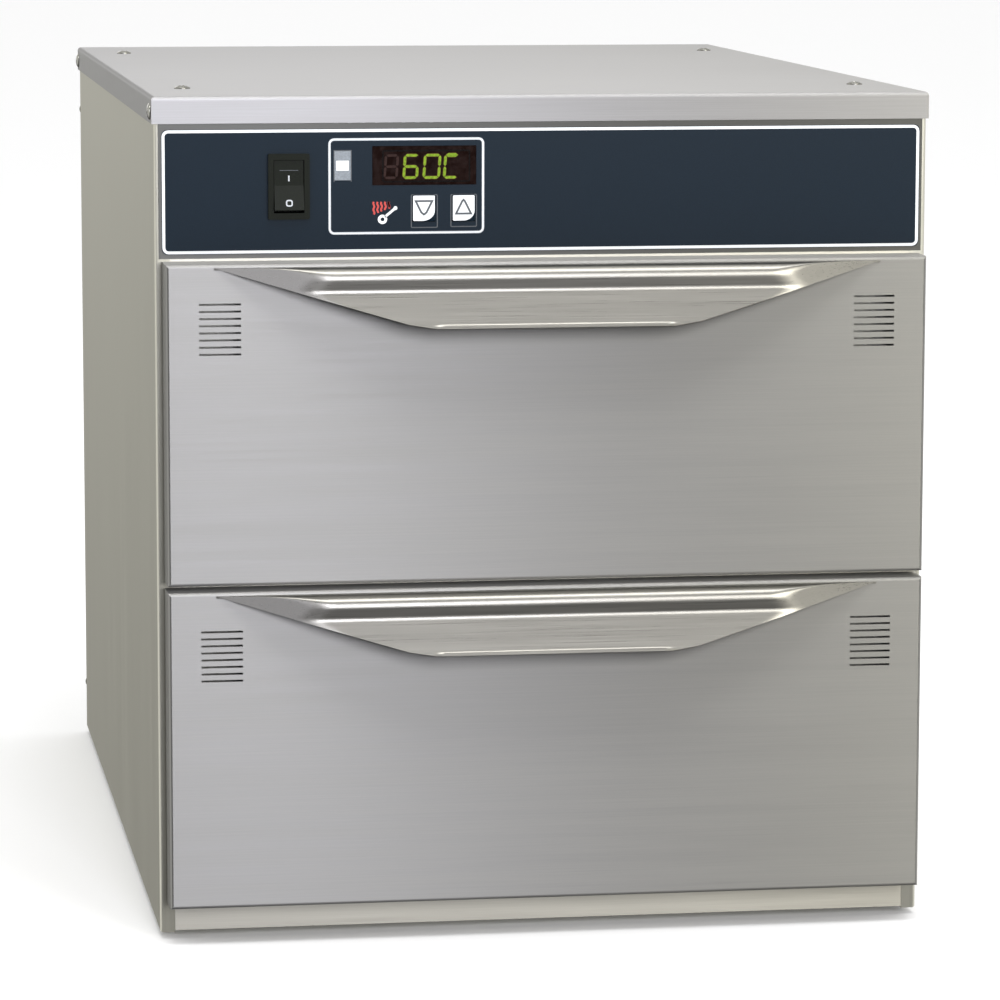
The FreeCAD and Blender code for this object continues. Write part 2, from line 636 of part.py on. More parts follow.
def frontRail(label, low, high, returns):
    """Cross rail between the stiles, with returns into the cavity where asked."""
    half = f"({sideOuter} - stile_width - seam)"
    body = plainPlate(label, "XZ_Plane", stileFront, stileBack, rectangle(f"-{half}", half, low, high))
    if returns:
        inside = f"({cavityHalf} - seam)"
        pad(body, "XZ_Plane", f"{stileBack} - sheet_gauge / 2", f"{stileFront} + rail_depth",
            rectangle(f"-{inside}", inside, low, f"{low} + sheet_gauge"),
            rectangle(f"-{inside}", inside, f"{high} - sheet_gauge", high))
    return body


railMiddle = f"({drawerBottoms['upper']} - drawer_gap / 2)"
keep(topCover())
keep(sidePanel("left_side_panel", -1))
keep(sidePanel("right_side_panel", 1))
keep(backPanel())
keep(basePan())
keep(frontRail("toe_strip", f"{floorZ} + sheet_gauge", f"{cavityFloor} + sheet_gauge", False))
keep(frontRail("middle_rail", f"{railMiddle} - rail_height / 2", f"{railMiddle} + rail_height / 2", True))
keep(frontRail("top_rail", f"{cavityTop} - sheet_gauge", f"{laggingTop}", False))
keep(grouped("top_cover_screws", [screw((across, back, topZ), "+Z") for across, back in coverScrews]))
keep(grouped("side_cover_screws",
             [screw((f"{side} * {casingHalf}", back, lipScrewZ), "+X" if side > 0 else "-X")
              for side in (-1, 1) for back in lipScrewPlaces]))
keep(grouped("back_panel_screws", [screw((f"{side} * {backScrewX}", panelBack, up), "+Y")
                                   for side in (-1, 1) for up in backScrewZ]))
keep(grouped("rubber_feet", [foot(across, back) for across, back in footPlaces]))


# --- heated cavity --------------------------------------------------------------

def innerLiner():
    """Open-fronted inner box with a rim that closes the insulation space behind the stiles."""
    body = newBody("inner_liner")
    foldedTray(body, linerHalf, linerBottom, linerTop, stileBack, linerBack, False, "liner_bend", "z")
    half = f"({sideInner} - sheet_gauge)"
    pad(body, "XZ_Plane", stileBack, f"{stileBack} + sheet_gauge",
        rectangle(f"-{half}", half, f"{baseTop} + seam", laggingTop),
        rectangle(f"-{cavityHalf}", cavityHalf, cavityFloor, cavityTop))
    return body


def lagging():
    """Glass-fibre wrap round the heated box, with a space for the heating strip."""
    body = newBody("insulation_wrap")
    half = f"({sideInner} - 2 * seam)"
    low = f"({baseTop} + seam)"
    rim = f"({stileBack} + sheet_gauge)"
    back = f"({panelBack} - screw_length - seam)"
    pad(body, "XZ_Plane", rim, back, rectangle(f"-{half}", half, low, laggingTop))
    # clear of the base tray's rim all round
    edge = f"({sideInner} - side_bend)"
    pocket(body, "XY_Plane", f"{low} - sheet_gauge", f"{floorZ} + sheet_gauge + base_rim + seam",
           rectangle(f"-{sideOuter}", sideOuter, stileBack, backPlane),
           rectangle(f"-{edge} + seam", f"{edge} - seam", f"{rim} + sheet_gauge", back))
    hole = f"({linerHalf} + strip_space)"
    pocket(body, "XZ_Plane", stileBack, f"{linerBack} + strip_space",
           rectangle(f"-{hole}", hole, linerBottom, linerTop))
    return body


def heatingStrip():
    """Silicone heating strip laid to and fro round both sides and the back of the heated box."""
    body = newBody("heating_strip")
    near, far = f"({linerHalf} + seam)", f"({linerHalf} + seam + strip_gauge)"
    nearBack, farBack = f"({linerBack} + seam)", f"({linerBack} + seam + strip_gauge)"
    front = f"({stileBack} + strip_front)"
    low, high = f"({cavityFloor} + strip_end)", f"({cavityTop} - strip_end)"
    pitch = f"(({high} - {low} - strip_width) / (strip_rows - 1))"
    pad(body, "XY_Plane", low, high, rectangle(f"-{far}", far, front, farBack))
    pocket(body, "XY_Plane", f"{low} - seam", f"{high} + seam",
           rectangle(f"-{near}", near, f"{front} - strip_gauge", nearBack))
    # flat corners of an even thickness, clear of the heated box's bend
    corner = "liner_bend * 0.6"
    for back, size in ((nearBack, corner), (farBack, f"{corner} + strip_gauge * (2 - 2 ^ 0.5)")):
        bevel(body, size, lambda e: runsAlong(e, "z") and at(e.CenterOfMass.y, back))
    # each gap between two runs leaves them joined at the front of one side
    for row in range(int(value("strip_rows")) - 1):
        side = 1 if row % 2 == 0 else -1
        cut, past = f"{side} * ({far} + strip_gauge)", f"({farBack} + strip_gauge)"
        link = f"({front} + strip_width)"
        pocket(body, "XY_Plane", f"{low} + {row} * {pitch} + strip_width", f"{low} + {row + 1} * {pitch}",
               [(f"-{cut}", f"{front} - strip_gauge"), ("0", f"{front} - strip_gauge"), ("0", link),
                (cut, link), (cut, past), (f"-{cut}", past)])
    return body


def temperatureSensor():
    """Probe clipped to the back of the heated box, under its roof."""
    back = f"({cavityBack} - probe_gap)"
    up = f"({cavityTop} - probe_drop)"
    probe = cylinder("probe_radius", "2 * probe_reach", ("-probe_reach", back, up), "+X")
    clips = newBody("ProbeClips")
    pad(clips, "XZ_Plane", f"{back} + probe_radius / 2", cavityBack,
        *[centred(f"{side} * probe_reach / 2", up, "clip_width", "clip_height") for side in (-1, 1)])
    return fused([probe, clips], "temperature_sensor")


keep(innerLiner())
keep(lagging())
keep(heatingStrip())
keep(temperatureSensor())


# --- control panel --------------------------------------------------------------

switchAcross = f"(switch_place - {overlayHalf})"
displayAcross = f"(display_place - {overlayHalf})"
lampAcross = f"(lamp_place - {overlayHalf})"
keyAcross = {"down": f"(down_place - {overlayHalf})", "up": f"(up_place - {overlayHalf})"}
switchUp = f"({fasciaBottom} + switch_rise)"
displayUp = f"({fasciaBottom} + display_rise)"
lampUp = f"({fasciaBottom} + lamp_rise)"
keyUp = f"({fasciaBottom} + key_rise)"
switchBody = centred(switchAcross, switchUp, "switch_width - 2 * switch_step",
                     "switch_height - 2 * switch_step")
switchCut = centred(switchAcross, switchUp, "switch_width - 2 * switch_step + 4 * seam",
                    "switch_height - 2 * switch_step + 4 * seam")
displayHole = centred(displayAcross, displayUp, "display_width + 2 * seam", "display_height + 2 * seam")
lampHole = centred(lampAcross, lampUp, "lamp_width + 2 * seam", "lamp_height + 2 * seam")
keyHoles = [centred(across, keyUp, "key_width + 2 * key_play", "key_height + 2 * key_play")
            for across in keyAcross.values()]


def pierced(body, start, end):
    """Cut the control openings through a sheet of the control panel."""
    pocket(body, "XZ_Plane", f"{start} - seam", f"{end} + seam", switchCut, displayHole, lampHole, *keyHoles)
    return body


def controlFascia():
    """Flat sheet that carries the controls."""
    body = plainPlate("control_fascia", "XZ_Plane", overlayBack, stileFront,
                      rectangle(f"-{fasciaHalf}", fasciaHalf, fasciaBottom, fasciaTop))
    return pierced(body, overlayBack, stileFront)


def controlOverlay():
    """Printed front of the control panel, with rounded corners."""
    body = newBody("control_overlay")
    pad(body, "XZ_Plane", overlayFront, overlayBack,
        rectangle(f"-{overlayHalf}", overlayHalf,
                  f"{fasciaBottom} + overlay_low", f"{fasciaTop} - overlay_high"))
    bend(body, "overlay_corner", lambda e: runsAlong(e, "y"))
    return pierced(body, overlayFront, overlayBack)


rockerPivotY = f"({overlayFront} + rocker_sink)"


def switchHousing():
    """Moulded switch body: a proud rim, a well for the rocker, pivot holes and three blade terminals."""
    body = newBody("switch_housing")
    front = f"({overlayFront} - switch_rim)"
    back = f"({overlayFront} + switch_depth)"
    pad(body, "XZ_Plane", front, overlayFront,
        centred(switchAcross, switchUp, "switch_width", "switch_height"))
    bend(body, "switch_corner", lambda e: runsAlong(e, "y"))
    pad(body, "XZ_Plane", overlayFront, back, switchBody)
    pocket(body, "XZ_Plane", f"{front} - seam", f"{overlayFront} + switch_well",
           centred(switchAcross, switchUp,
                   "rocker_width + 2 * rocker_play", "rocker_height + 2 * rocker_play"))
    hole = "(rocker_width / 2 + pin_length + 2 * seam)"
    pocket(body, "YZ_Plane", f"{switchAcross} - {hole}", f"{switchAcross} + {hole}",
           circles=[(rockerPivotY, switchUp, "rocker_pin + pin_play")])
    pad(body, "XZ_Plane", f"{back} - blade_gauge", f"{back} + blade_length",
        *[centred(switchAcross, f"{switchUp} + {step} * blade_pitch", "blade_width", "blade_gauge")
          for step in (-1, 0, 1)])
    return body


def powerRocker():
    """Rocker drawn level about its pivot, then turned to its on position."""
    body = newBody("power_rocker")
    half = "(rocker_height / 2 - 2 * rocker_play)"
    face = "(switch_rim + rocker_sink + rocker_proud)"
    corners = [(f"-{face}", f"-{half}"), (f"-{face} + rocker_dish", "0"), (f"-{face}", half),
               ("-rocker_edge", f"{half} - rocker_draft"), ("rocker_root", "rocker_waist"),
               ("rocker_root", "-rocker_waist"), ("-rocker_edge", f"-{half} + rocker_draft")]
    pad(body, "YZ_Plane", "-rocker_width / 2", "rocker_width / 2", corners)
    pad(body, "YZ_Plane", "-rocker_width / 2 - pin_length", "rocker_width / 2 + pin_length",
        circles=[("0", "0", "rocker_pin")])
    body.Placement = Placement(Vector(), Rotation(Vector(-1, 0, 0), 1))
    for letter, expression in zip("xyz", (switchAcross, rockerPivotY, switchUp)):
        body.setExpression(f"Placement.Base.{letter}", bound(expression))
    body.setExpression("Placement.Rotation.Angle", bound("rocker_tilt"))
    return body


def indicatorBezel():
    """Frame of the heat lamp."""
    body = plainPlate("lamp_frame", "XZ_Plane", f"{overlayFront} - lamp_proud", moduleFront,
                      centred(lampAcross, lampUp, "lamp_width", "lamp_height"))
    pocket(body, "XZ_Plane", f"{overlayFront} - 2 * lamp_proud", f"{moduleFront} + seam",
           centred(lampAcross, lampUp, "lens_width + 2 * seam", "lens_height + 2 * seam"))
    return body


def key(label, across):
    """Key cap with a collar that stops it against the back of the control panel."""
    body = newBody(label)
    collar = "(key_space - key_travel - key_rest)"
    pad(body, "XZ_Plane", f"{overlayFront} - key_proud", stileFront,
        centred(across, keyUp, "key_width", "key_height"))
    bend(body, "key_corner", lambda e: runsAlong(e, "y"))
    pad(body, "XZ_Plane", stileFront, f"{stileFront} + {collar}",
        centred(across, keyUp, "key_width + 2 * key_collar", "key_height + 2 * key_collar"))
    return body


def controlModule():
    """Controller housing on four pillars behind the panel."""
    body = newBody("control_module")
    left = f"({lampAcross} - lamp_width / 2 - module_margin)"
    right = f"({keyAcross['up']} + key_width / 2 + module_margin)"
    low = f"({keyUp} - key_height / 2 - module_margin)"
    high = f"({displayUp} + display_height / 2 + module_margin)"
    pad(body, "XZ_Plane", moduleFront, f"{moduleFront} + module_depth", rectangle(left, right, low, high))
    pillars = [rectangle(across, f"{across} + pillar_width", up, f"{up} + pillar_width")
               for across in (left, f"{right} - pillar_width") for up in (low, f"{high} - pillar_width")]
    pad(body, "XZ_Plane", stileFront, moduleFront, *pillars)
    return body


keep(controlFascia())
keep(controlOverlay())
keep(switchHousing())
keep(powerRocker())
keep(indicatorBezel())
keep(plainPlate("lamp_lens", "XZ_Plane", f"{overlayFront} - lens_proud", moduleFront,
                centred(lampAcross, lampUp, "lens_width", "lens_height")))
keep(plainPlate("display_window", "XZ_Plane", f"{overlayFront} + display_sink", moduleFront,
                centred(displayAcross, displayUp, "display_width", "display_height")))
for name, across in keyAcross.items():
    keep(key(f"{name}_key", across))
keep(controlModule())


# --- mains inlet at the back ----------------------------------------------------

def cordGland():
    """Threaded gland with a collar and a neck; the cord passes through its bore."""
    body = newBody("cord_gland")
    sketch = newSketch(body, "XY_Plane", glandUp)
    inside = f"({panelBack} - gland_depth)"
    tip = f"({backPlane} + gland_reach)"
    profile = [("gland_bore", inside), ("gland_thread", inside), ("gland_thread", panelBack),
               ("gland_radius", panelBack), ("gland_radius", f"{panelBack} + gland_collar"),
               ("gland_neck", f"{panelBack} + gland_collar"), ("gland_neck", tip), ("gland_bore", tip)]
    drawOutline(sketch, [(f"{glandAcross} + {radius}", back) for radius, back in profile])
    middle = value(glandAcross)
    axis = sketch.addGeometry(Part.LineSegment(Vector(middle, 0, 0), Vector(middle, value(tip), 0)), True)
    drive(sketch, "DistanceX", axis, 1, glandAcross)
    drive(sketch, "DistanceX", axis, 2, glandAcross)
    turn = body.newObject("PartDesign::Revolution", "Turned")
    turn.Profile = sketch
    turn.ReferenceAxis = (sketch, ["Axis0"])
    turn.Angle = 360
    return body


def hexNut(label, across, up, start, end, flat, bore):
    """Six-sided nut, the flat given as half its width across."""
    corner = f"({flat}) / 3 ^ 0.5"
    body = newBody(label)
    corners = [(f"{across} + {corner} * 2", up), (f"{across} + {corner}", f"{up} + {flat}"),
               (f"{across} - {corner}", f"{up} + {flat}"), (f"{across} - {corner} * 2", up),
               (f"{across} - {corner}", f"{up} - {flat}"), (f"{across} + {corner}", f"{up} - {flat}")]
    pad(body, "XZ_Plane", start, end, corners, circles=[(across, up, bore)])
    return body


def terminalBlock():
    """Moulded block with a row of three clamps, fixed to the inside of the back panel."""
    body = newBody("terminal_block")
    across = f"({glandAcross} - block_place)"
    front = f"({sideBack} - block_depth)"
    pad(body, "XZ_Plane", front, sideBack, centred(across, glandUp, "block_width", "block_height"))
    pocket(body, "XZ_Plane", f"{front} - seam", f"{front} + clamp_depth",
           *[centred(f"{across} + {step} * clamp_pitch", glandUp, "clamp_width", "clamp_height")
             for step in (-1, 0, 1)])
    return body


keep(cordGland())
keep(hexNut("gland_nut", glandAcross, glandUp, f"{sideBack} - nut_height", sideBack,
            "gland_radius", "gland_thread + nut_play"))
keep(terminalBlock())


# --- telescopic slides ----------------------------------------------------------

def mirrored(corners, side):
    """Section corners given as (distance from the cavity wall, height), on the left or right wall."""
    return [(f"{side} * ({cavityHalf} - ({inward}))", up) for inward, up in corners]


def slideSections(middle):
    """Sections of the three members and four glides, nested with a running clearance."""
    outerHalf = "(slide_height / 2)"
    wellHalf = f"({outerHalf} - slide_gauge)"
    middleHalf = f"({wellHalf} - glide_thickness)"
    nestHalf = f"({middleHalf} - slide_gauge)"
    coreHalf = f"({nestHalf} - glide_thickness)"
    trayHalf = f"({coreHalf} - slide_gauge)"
    turnHalf = f"({wellHalf} - slide_lip)"
    web = "(2 * slide_gauge)"
    edge = "(slide_thickness - slide_gauge - slide_step)"
    low = lambda reach: f"{middle} - {reach}"
    high = lambda reach: f"{middle} + {reach}"
    lip = "(slide_flange - slide_gauge)"
    cabinetMember = [("0", low(outerHalf)), ("slide_flange", low(outerHalf)), ("slide_flange", low(turnHalf)),
                     (lip, low(turnHalf)), (lip, low(wellHalf)), ("slide_gauge", low(wellHalf)),
                     ("slide_gauge", high(wellHalf)), (lip, high(wellHalf)), (lip, high(turnHalf)),
                     ("slide_flange", high(turnHalf)), ("slide_flange", high(outerHalf)),
                     ("0", high(outerHalf))]
    middleMember = [(web, low(middleHalf)), (edge, low(middleHalf)), (edge, low(nestHalf)),
                    (f"{web} + slide_gauge", low(nestHalf)), (f"{web} + slide_gauge", high(nestHalf)),
                    (edge, high(nestHalf)), (edge, high(middleHalf)), (web, high(middleHalf))]
    back = "(slide_thickness - slide_gauge)"
    tip = "slide_nest"
    drawerMember = [("slide_thickness", low(coreHalf)), (tip, low(coreHalf)), (tip, low(trayHalf)),
                    (back, low(trayHalf)), (back, high(trayHalf)), (tip, high(trayHalf)),
                    (tip, high(coreHalf)), ("slide_thickness", high(coreHalf))]
    glides = []
    for place in (low, high):
        glides.append(rectangle(f"{web} + slide_gauge", f"{lip} - glide_play",
                                place(middleHalf), place(f"({wellHalf} - glide_play)")))
        glides.append(rectangle(f"{tip} + glide_play", edge,
                                place(f"({coreHalf} + glide_play)"), place(nestHalf)))
    return cabinetMember, middleMember, drawerMember, glides


def slideMember(label, side, section):
    return plainPlate(label, "XZ_Plane", slideFront, slideBack, mirrored(section, side))


def glideSet(label, middle):
    """Eight nylon glides clipped to the middle members: four at each end, over and under both webs."""
    body = newBody(label)
    sections = slideSections(middle)[3]
    outerGlides, innerGlides = sections[0::2], sections[1::2]
    for start, end, pair in ((f"{slideBack} - glide_length", slideBack, outerGlides),
                             (slideFront, f"{slideFront} + glide_length", innerGlides)):
        pad(body, "XZ_Plane", start, end, *[mirrored(section, side) for side in (-1, 1) for section in pair])
    return body


# --- drawers --------------------------------------------------------------------

ventColumns = [f"(vent_side + vent_width / 2 - {skinHalf})", f"({skinHalf} - vent_side - vent_width / 2)"]
portBlock = "((port_count - 1) * port_pitch + port_width)"
shutterHalf = f"({portBlock} / 2 + shutter_margin)"
shutterHigh = "(port_height / 2 + shutter_margin)"
portPlace = (f"({carrierHalf} - carrier_gauge - carrier_tab - port_margin"
             f" - {shutterHalf} - port_pitch / 2)")


def portUp(bottom):
    return f"({bottom} + {frontHeight} - vent_drop - port_height / 2 - port_drop)"


def portColumns(middle):
    """Middles of a row of ports round a middle place."""
    steps = range(int(value("port_count")))
    return [f"{middle} + ({step} - (port_count - 1) / 2) * port_pitch" for step in steps]


def drawerFront(label, bottom):
    """Folded skin of a drawer front with a group of vent slots near each side."""
    body = newBody(label)
    high = f"({bottom} + {frontHeight})"
    foldedTray(body, skinHalf, bottom, high, skinFront, frontPlane, True, "front_bend", "xz")
    up = f"({high} - vent_drop - vent_slot / 2 - (vent_count - 1) * vent_pitch)"
    slots = pocket(body, "XZ_Plane", f"{skinFront} - sheet_gauge", f"{skinFront} + 2 * sheet_gauge",
                   *[centred(across, up, "vent_width", "vent_slot") for across in ventColumns])
    repeat(body, slots, "vent_count", "vent_pitch", "V_Axis")
    return body


def drawerPull(label, bottom):
    """Awning-shaped pull: rolled crest, crease, flared face and a folded hem, tapering out to both sides."""
    body = newBody(label)
    top = f"({bottom} + {frontHeight} - front_bend)"
    lip = f"({top} - pull_height)"
    crease = f"({top} - pull_step)"
    crestY, lipY = f"({skinFront} - pull_crest)", f"({skinFront} - pull_reach)"
    pad(body, "YZ_Plane", f"-{pullHalf}", pullHalf,
        [(skinFront, top), (crestY, top), (crestY, crease), (lipY, lip), (skinFront, lip)])
    for size, up in (("pull_roll", top), ("pull_crease", crease)):
        bend(body, size, lambda e: runsAlong(e, "x") and at(e.CenterOfMass.y, crestY)
             and at(e.CenterOfMass.z, up))
    hollow(body, "pull_gauge", lambda f: at(abs(f.CenterOfMass.x), pullHalf)
           or at(f.CenterOfMass.y, skinFront) or at(f.CenterOfMass.z, lip))
    for side in (-1, 1):
        beyond = f"{side} * ({pullHalf} + pull_gauge)"
        wedge = [(beyond, f"{lip} - pull_gauge"), (f"{side} * {lipHalf}", f"{lip} - pull_gauge"),
                 (f"{side} * {lipHalf}", lip),
                 (f"{side} * ({lipHalf} + pull_corner)", f"{lip} + pull_corner_rise"), (beyond, top)]
        pocket(body, "XZ_Plane", f"{lipY} - pull_gauge", f"{skinFront} + pull_gauge", wedge)
    # the hem lies against the back of the flared face and leans with it
    lean = "(pull_reach - pull_crest) / (pull_height - pull_step)"
    inside = f"({lipY} + pull_gauge * (1 + ({lean}) ^ 2) ^ 0.5 - seam / 2)"
    head = f"({inside} + hem_height * {lean})"
    pad(body, "YZ_Plane", f"-{lipHalf} + hem_end", f"{lipHalf} - hem_end",
        [(inside, lip), (head, f"{lip} + hem_height"), (f"{head} + pull_gauge", f"{lip} + hem_height"),
         (f"{inside} + pull_gauge", lip)])
    return body


def innerPanel(label, bottom):
    """Flat inner panel with two groups of vent ports, each between the guides of its shutter."""
    body = newBody(label)
    half = f"({skinHalf} - front_bend)"
    pad(body, "XZ_Plane", innerFront, innerBack,
        rectangle(f"-{half}", half, f"{bottom} + front_bend", f"{bottom} + {frontHeight} - front_bend"))
    up = portUp(bottom)
    pocket(body, "XZ_Plane", f"{innerFront} - sheet_gauge", f"{innerBack} + sheet_gauge",
           *[centred(across, up, "port_width", "port_height")
             for side in (-1, 1) for across in portColumns(f"{side} * {portPlace}")])
    channel = f"({innerBack} + shutter_gauge + 2 * shutter_play)"
    length = f"({shutterHalf} + port_pitch / 2)"
    near = f"({shutterHigh} + shutter_play)"
    webs, lips = [], []
    for side in (-1, 1):
        middle = f"{side} * {portPlace}"
        for way in (-1, 1):
            for reach, found in ((near, webs), (f"({near} - guide_lip)", lips)):
                low, high = ordered(way, f"{up} + {way} * {reach}", f"{up} + {way} * ({near} + guide_gauge)")
                found.append(rectangle(f"{middle} - {length}", f"{middle} + {length}", low, high))
    pad(body, "XZ_Plane", innerBack, channel, *webs)
    pad(body, "XZ_Plane", channel, f"{channel} + shutter_gauge", *lips)
    return body


def ventShutter(label, bottom, side):
    """Slotted slide behind the ports, drawn closed, with a finger tab."""
    body = newBody(label)
    up = portUp(bottom)
    near = f"({innerBack} + shutter_play)"
    far = f"({near} + shutter_gauge)"
    middle = f"({side} * {portPlace} - port_pitch / 4)"
    pad(body, "XZ_Plane", near, far,
        rectangle(f"{middle} - {shutterHalf}", f"{middle} + {shutterHalf}",
                  f"{up} - {shutterHigh}", f"{up} + {shutterHigh}"))
    pocket(body, "XZ_Plane", innerBack, f"{far} + shutter_play",
           *[centred(across, up, "port_width", "port_height")
             for across in portColumns(f"{side} * {portPlace} - port_pitch / 2")])
    pad(body, "XZ_Plane", far, f"{far} + tab_reach",
        centred(middle, f"{up} - {shutterHigh} + tab_rise", "tab_width", "shutter_gauge"))
    return body


def drawerInsulation(label, bottom):
    """Insulation between skin and inner panel, cut away where the vents breathe."""
    half = f"({skinHalf} - front_bend)"
    body = newBody(label)
    high = f"({bottom} + {frontHeight} - front_bend)"
    pad(body, "XZ_Plane", f"{skinFront} + sheet_gauge", innerFront,
        rectangle(f"-{half}", half, f"{bottom} + front_bend", high))
    low = f"({bottom} + {frontHeight} - vent_drop - vent_count * vent_pitch - vent_margin)"
    near = f"({portPlace} - {shutterHalf})"
    pocket(body, "XZ_Plane", skinFront, frontPlane,
           *[rectangle(*ordered(side, f"{side} * {near}", f"{side} * {skinHalf}"),
                       low, f"{high} + sheet_gauge") for side in (-1, 1)])
    return body


def panCarrier(label, bottom):
    """Welded frame that hangs between the slides and carries the pan by its rim."""
    body = newBody(label)
    seat = f"({bottom} + pan_floor_space + pan_depth)"
    low = f"({seat} - carrier_height)"
    inner = f"({carrierHalf} - carrier_gauge)"
    ledge = f"({inner} - carrier_ledge)"
    around = rectangle(f"-{carrierHalf}", carrierHalf, carrierFront, carrierBack)
    pad(body, "XY_Plane", low, seat, around,
        rectangle(f"-{inner}", inner, f"{carrierFront} + carrier_gauge", f"{carrierBack} - carrier_gauge"))
    pad(body, "XY_Plane", f"{seat} - carrier_gauge", seat, around,
        rectangle(f"-{ledge}", ledge, f"{carrierFront} + carrier_gauge + carrier_ledge",
                  f"{carrierBack} - carrier_gauge - carrier_ledge"))
    for side in (-1, 1):
        outer, wall = f"{side} * {carrierHalf}", f"{side} * {inner}"
        tab = f"{side} * ({inner} - carrier_tab)"
        pad(body, "XY_Plane", low, seat,
            rectangle(*ordered(side, wall, outer), innerBack, f"{carrierFront} + carrier_gauge"))
        pad(body, "XY_Plane", low, seat,
            rectangle(*ordered(side, tab, outer), innerBack, f"{innerBack} + carrier_gauge"))
    return body


def foodPan(label, bottom):
    """Pressed full-size pan: sloping walls, rounded corners and a flat rim."""
    body = newBody(label)
    seat = f"({bottom} + pan_floor_space + pan_depth)"
    middleY = f"({frontPlane} + pan_setback + pan_length / 2)"
    mouth = lambda inset: centred("0", middleY,
                                  f"(pan_width - 2 * ({inset}))", f"(pan_length - 2 * ({inset}))")
    tubs = (("Pad", "pan_rim", "pan_depth", "pan_corner"),
            ("Pocket", "pan_rim + pan_gauge", "pan_depth - pan_gauge", "(pan_corner - pan_gauge)"))
    for kind, inset, depth, corner in tubs:
        sketch = newSketch(body, "XY_Plane", seat)
        drawRounded(sketch, mouth(inset), corner)
        tub = body.newObject(f"PartDesign::{kind}", kind)
        tub.Profile = sketch
        tub.Reversed = kind == "Pad"    # both go down from the mouth
        tub.setExpression("Length", bound(depth))
        tub.setExpression("TaperAngle", bound("-pan_taper"))
    for rise in ("pan_gauge", "0"):
        floor = f"({seat} - pan_depth + {rise})"
        bevel(body, f"pan_floor_bevel - {rise} / 2", lambda e: at(e.BoundBox.ZMax, floor, 0.05))
    rim = newSketch(body, "XY_Plane", seat)
    drawRounded(rim, mouth("0"), "pan_rim_corner")
    drawRounded(rim, mouth("pan_rim + pan_gauge"), "(pan_corner - pan_gauge)")
    flange = body.newObject("PartDesign::Pad", "Pad")
    flange.Profile = rim
    flange.setExpression("Length", bound("pan_gauge"))
    return body


for name, bottom in drawerBottoms.items():
    slideMiddle = f"({bottom} + {frontHeight} - slide_drop)"
    cabinetMember, middleMember, drawerMember, _ = slideSections(slideMiddle)
    keep(drawerFront(f"{name}_drawer_front", bottom))
    keep(drawerPull(f"{name}_pull", bottom))
    keep(innerPanel(f"{name}_inner_panel", bottom))
    keep(drawerInsulation(f"{name}_front_insulation", bottom))
    keep(panCarrier(f"{name}_pan_carrier", bottom))
    keep(foodPan(f"{name}_food_pan", bottom))
    for word, side in (("left", -1), ("right", 1)):
        keep(ventShutter(f"{name}_{word}_vent_shutter", bottom, side))
        keep(slideMember(f"{name}_{word}_slide_cabinet_member", side, cabinetMember))
        keep(slideMember(f"{name}_{word}_slide_middle_member", side, middleMember))
        keep(slideMember(f"{name}_{word}_slide_drawer_member", side, drawerMember))
    keep(glideSet(f"{name}_slide_glides", slideMiddle))


# --- check and write ------------------------------------------------------------

doc.recompute()
faults = [thing.Name for thing in doc.Objects if {"Invalid", "Error"} & set(thing.State)]
faults += [thing.Label for thing in subparts if thing.Shape.isNull() or not thing.Shape.isValid()]
if faults:
    raise RuntimeError(f"not built: {faults}")

os.makedirs("parts", exist_ok=True)
for thing in subparts:
    thing.Shape.exportStep(f"parts/{thing.Label}.step")
    print(f"{thing.Label}: {len(thing.Shape.Solids)} solids, {thing.Shape.Volume:.0f} mm3")
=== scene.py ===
import bpy
import numpy as np
from mathutils import Euler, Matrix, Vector


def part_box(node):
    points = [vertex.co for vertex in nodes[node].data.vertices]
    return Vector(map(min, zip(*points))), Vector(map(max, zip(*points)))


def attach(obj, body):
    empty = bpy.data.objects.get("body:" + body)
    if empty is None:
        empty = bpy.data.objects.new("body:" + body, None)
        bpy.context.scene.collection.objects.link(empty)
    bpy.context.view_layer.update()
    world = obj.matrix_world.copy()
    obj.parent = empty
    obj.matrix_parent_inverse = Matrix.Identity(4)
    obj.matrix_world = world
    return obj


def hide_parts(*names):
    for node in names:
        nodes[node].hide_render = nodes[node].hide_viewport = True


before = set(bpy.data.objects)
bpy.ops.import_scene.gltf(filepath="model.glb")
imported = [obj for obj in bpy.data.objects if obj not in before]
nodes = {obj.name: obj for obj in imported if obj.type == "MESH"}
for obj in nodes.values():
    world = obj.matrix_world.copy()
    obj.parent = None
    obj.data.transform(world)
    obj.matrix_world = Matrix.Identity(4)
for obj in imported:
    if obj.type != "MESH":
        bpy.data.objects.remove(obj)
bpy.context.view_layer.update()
mm = 0.001
print("stage: frame loaded,", len(nodes), "nodes")


def toLinear(hexCode):
    # sRGB hex to the linear colour that a shader socket takes
    parts = np.array([int(hexCode[i:i + 2], 16) / 255 for i in (1, 3, 5)])
    linear = np.where(parts <= 0.04045, parts / 12.92, ((parts + 0.055) / 1.055) ** 2.4)
    return (*linear.tolist(), 1.0)


def addNode(tree, kind, links=None, **settings):
    # one node: a setting is a property of the node or the start value of a socket, a link feeds a socket
    node = tree.nodes.new(kind)
    for name, setting in settings.items():
        if hasattr(node, name):
            setattr(node, name, setting)
        elif name == "colors":
            stops = node.color_ramp.elements
            for index, (place, hexCode) in enumerate(setting):
                stop = stops[index] if index < 2 else stops.new(place)
                stop.position, stop.color = place, toLinear(hexCode)
        else:
            node.inputs[name.replace("_", " ")].default_value = setting
    for socket, source in (links or {}).items():
        tree.links.new(source.outputs[0] if hasattr(source, "outputs") else source, node.inputs[socket])
    return node


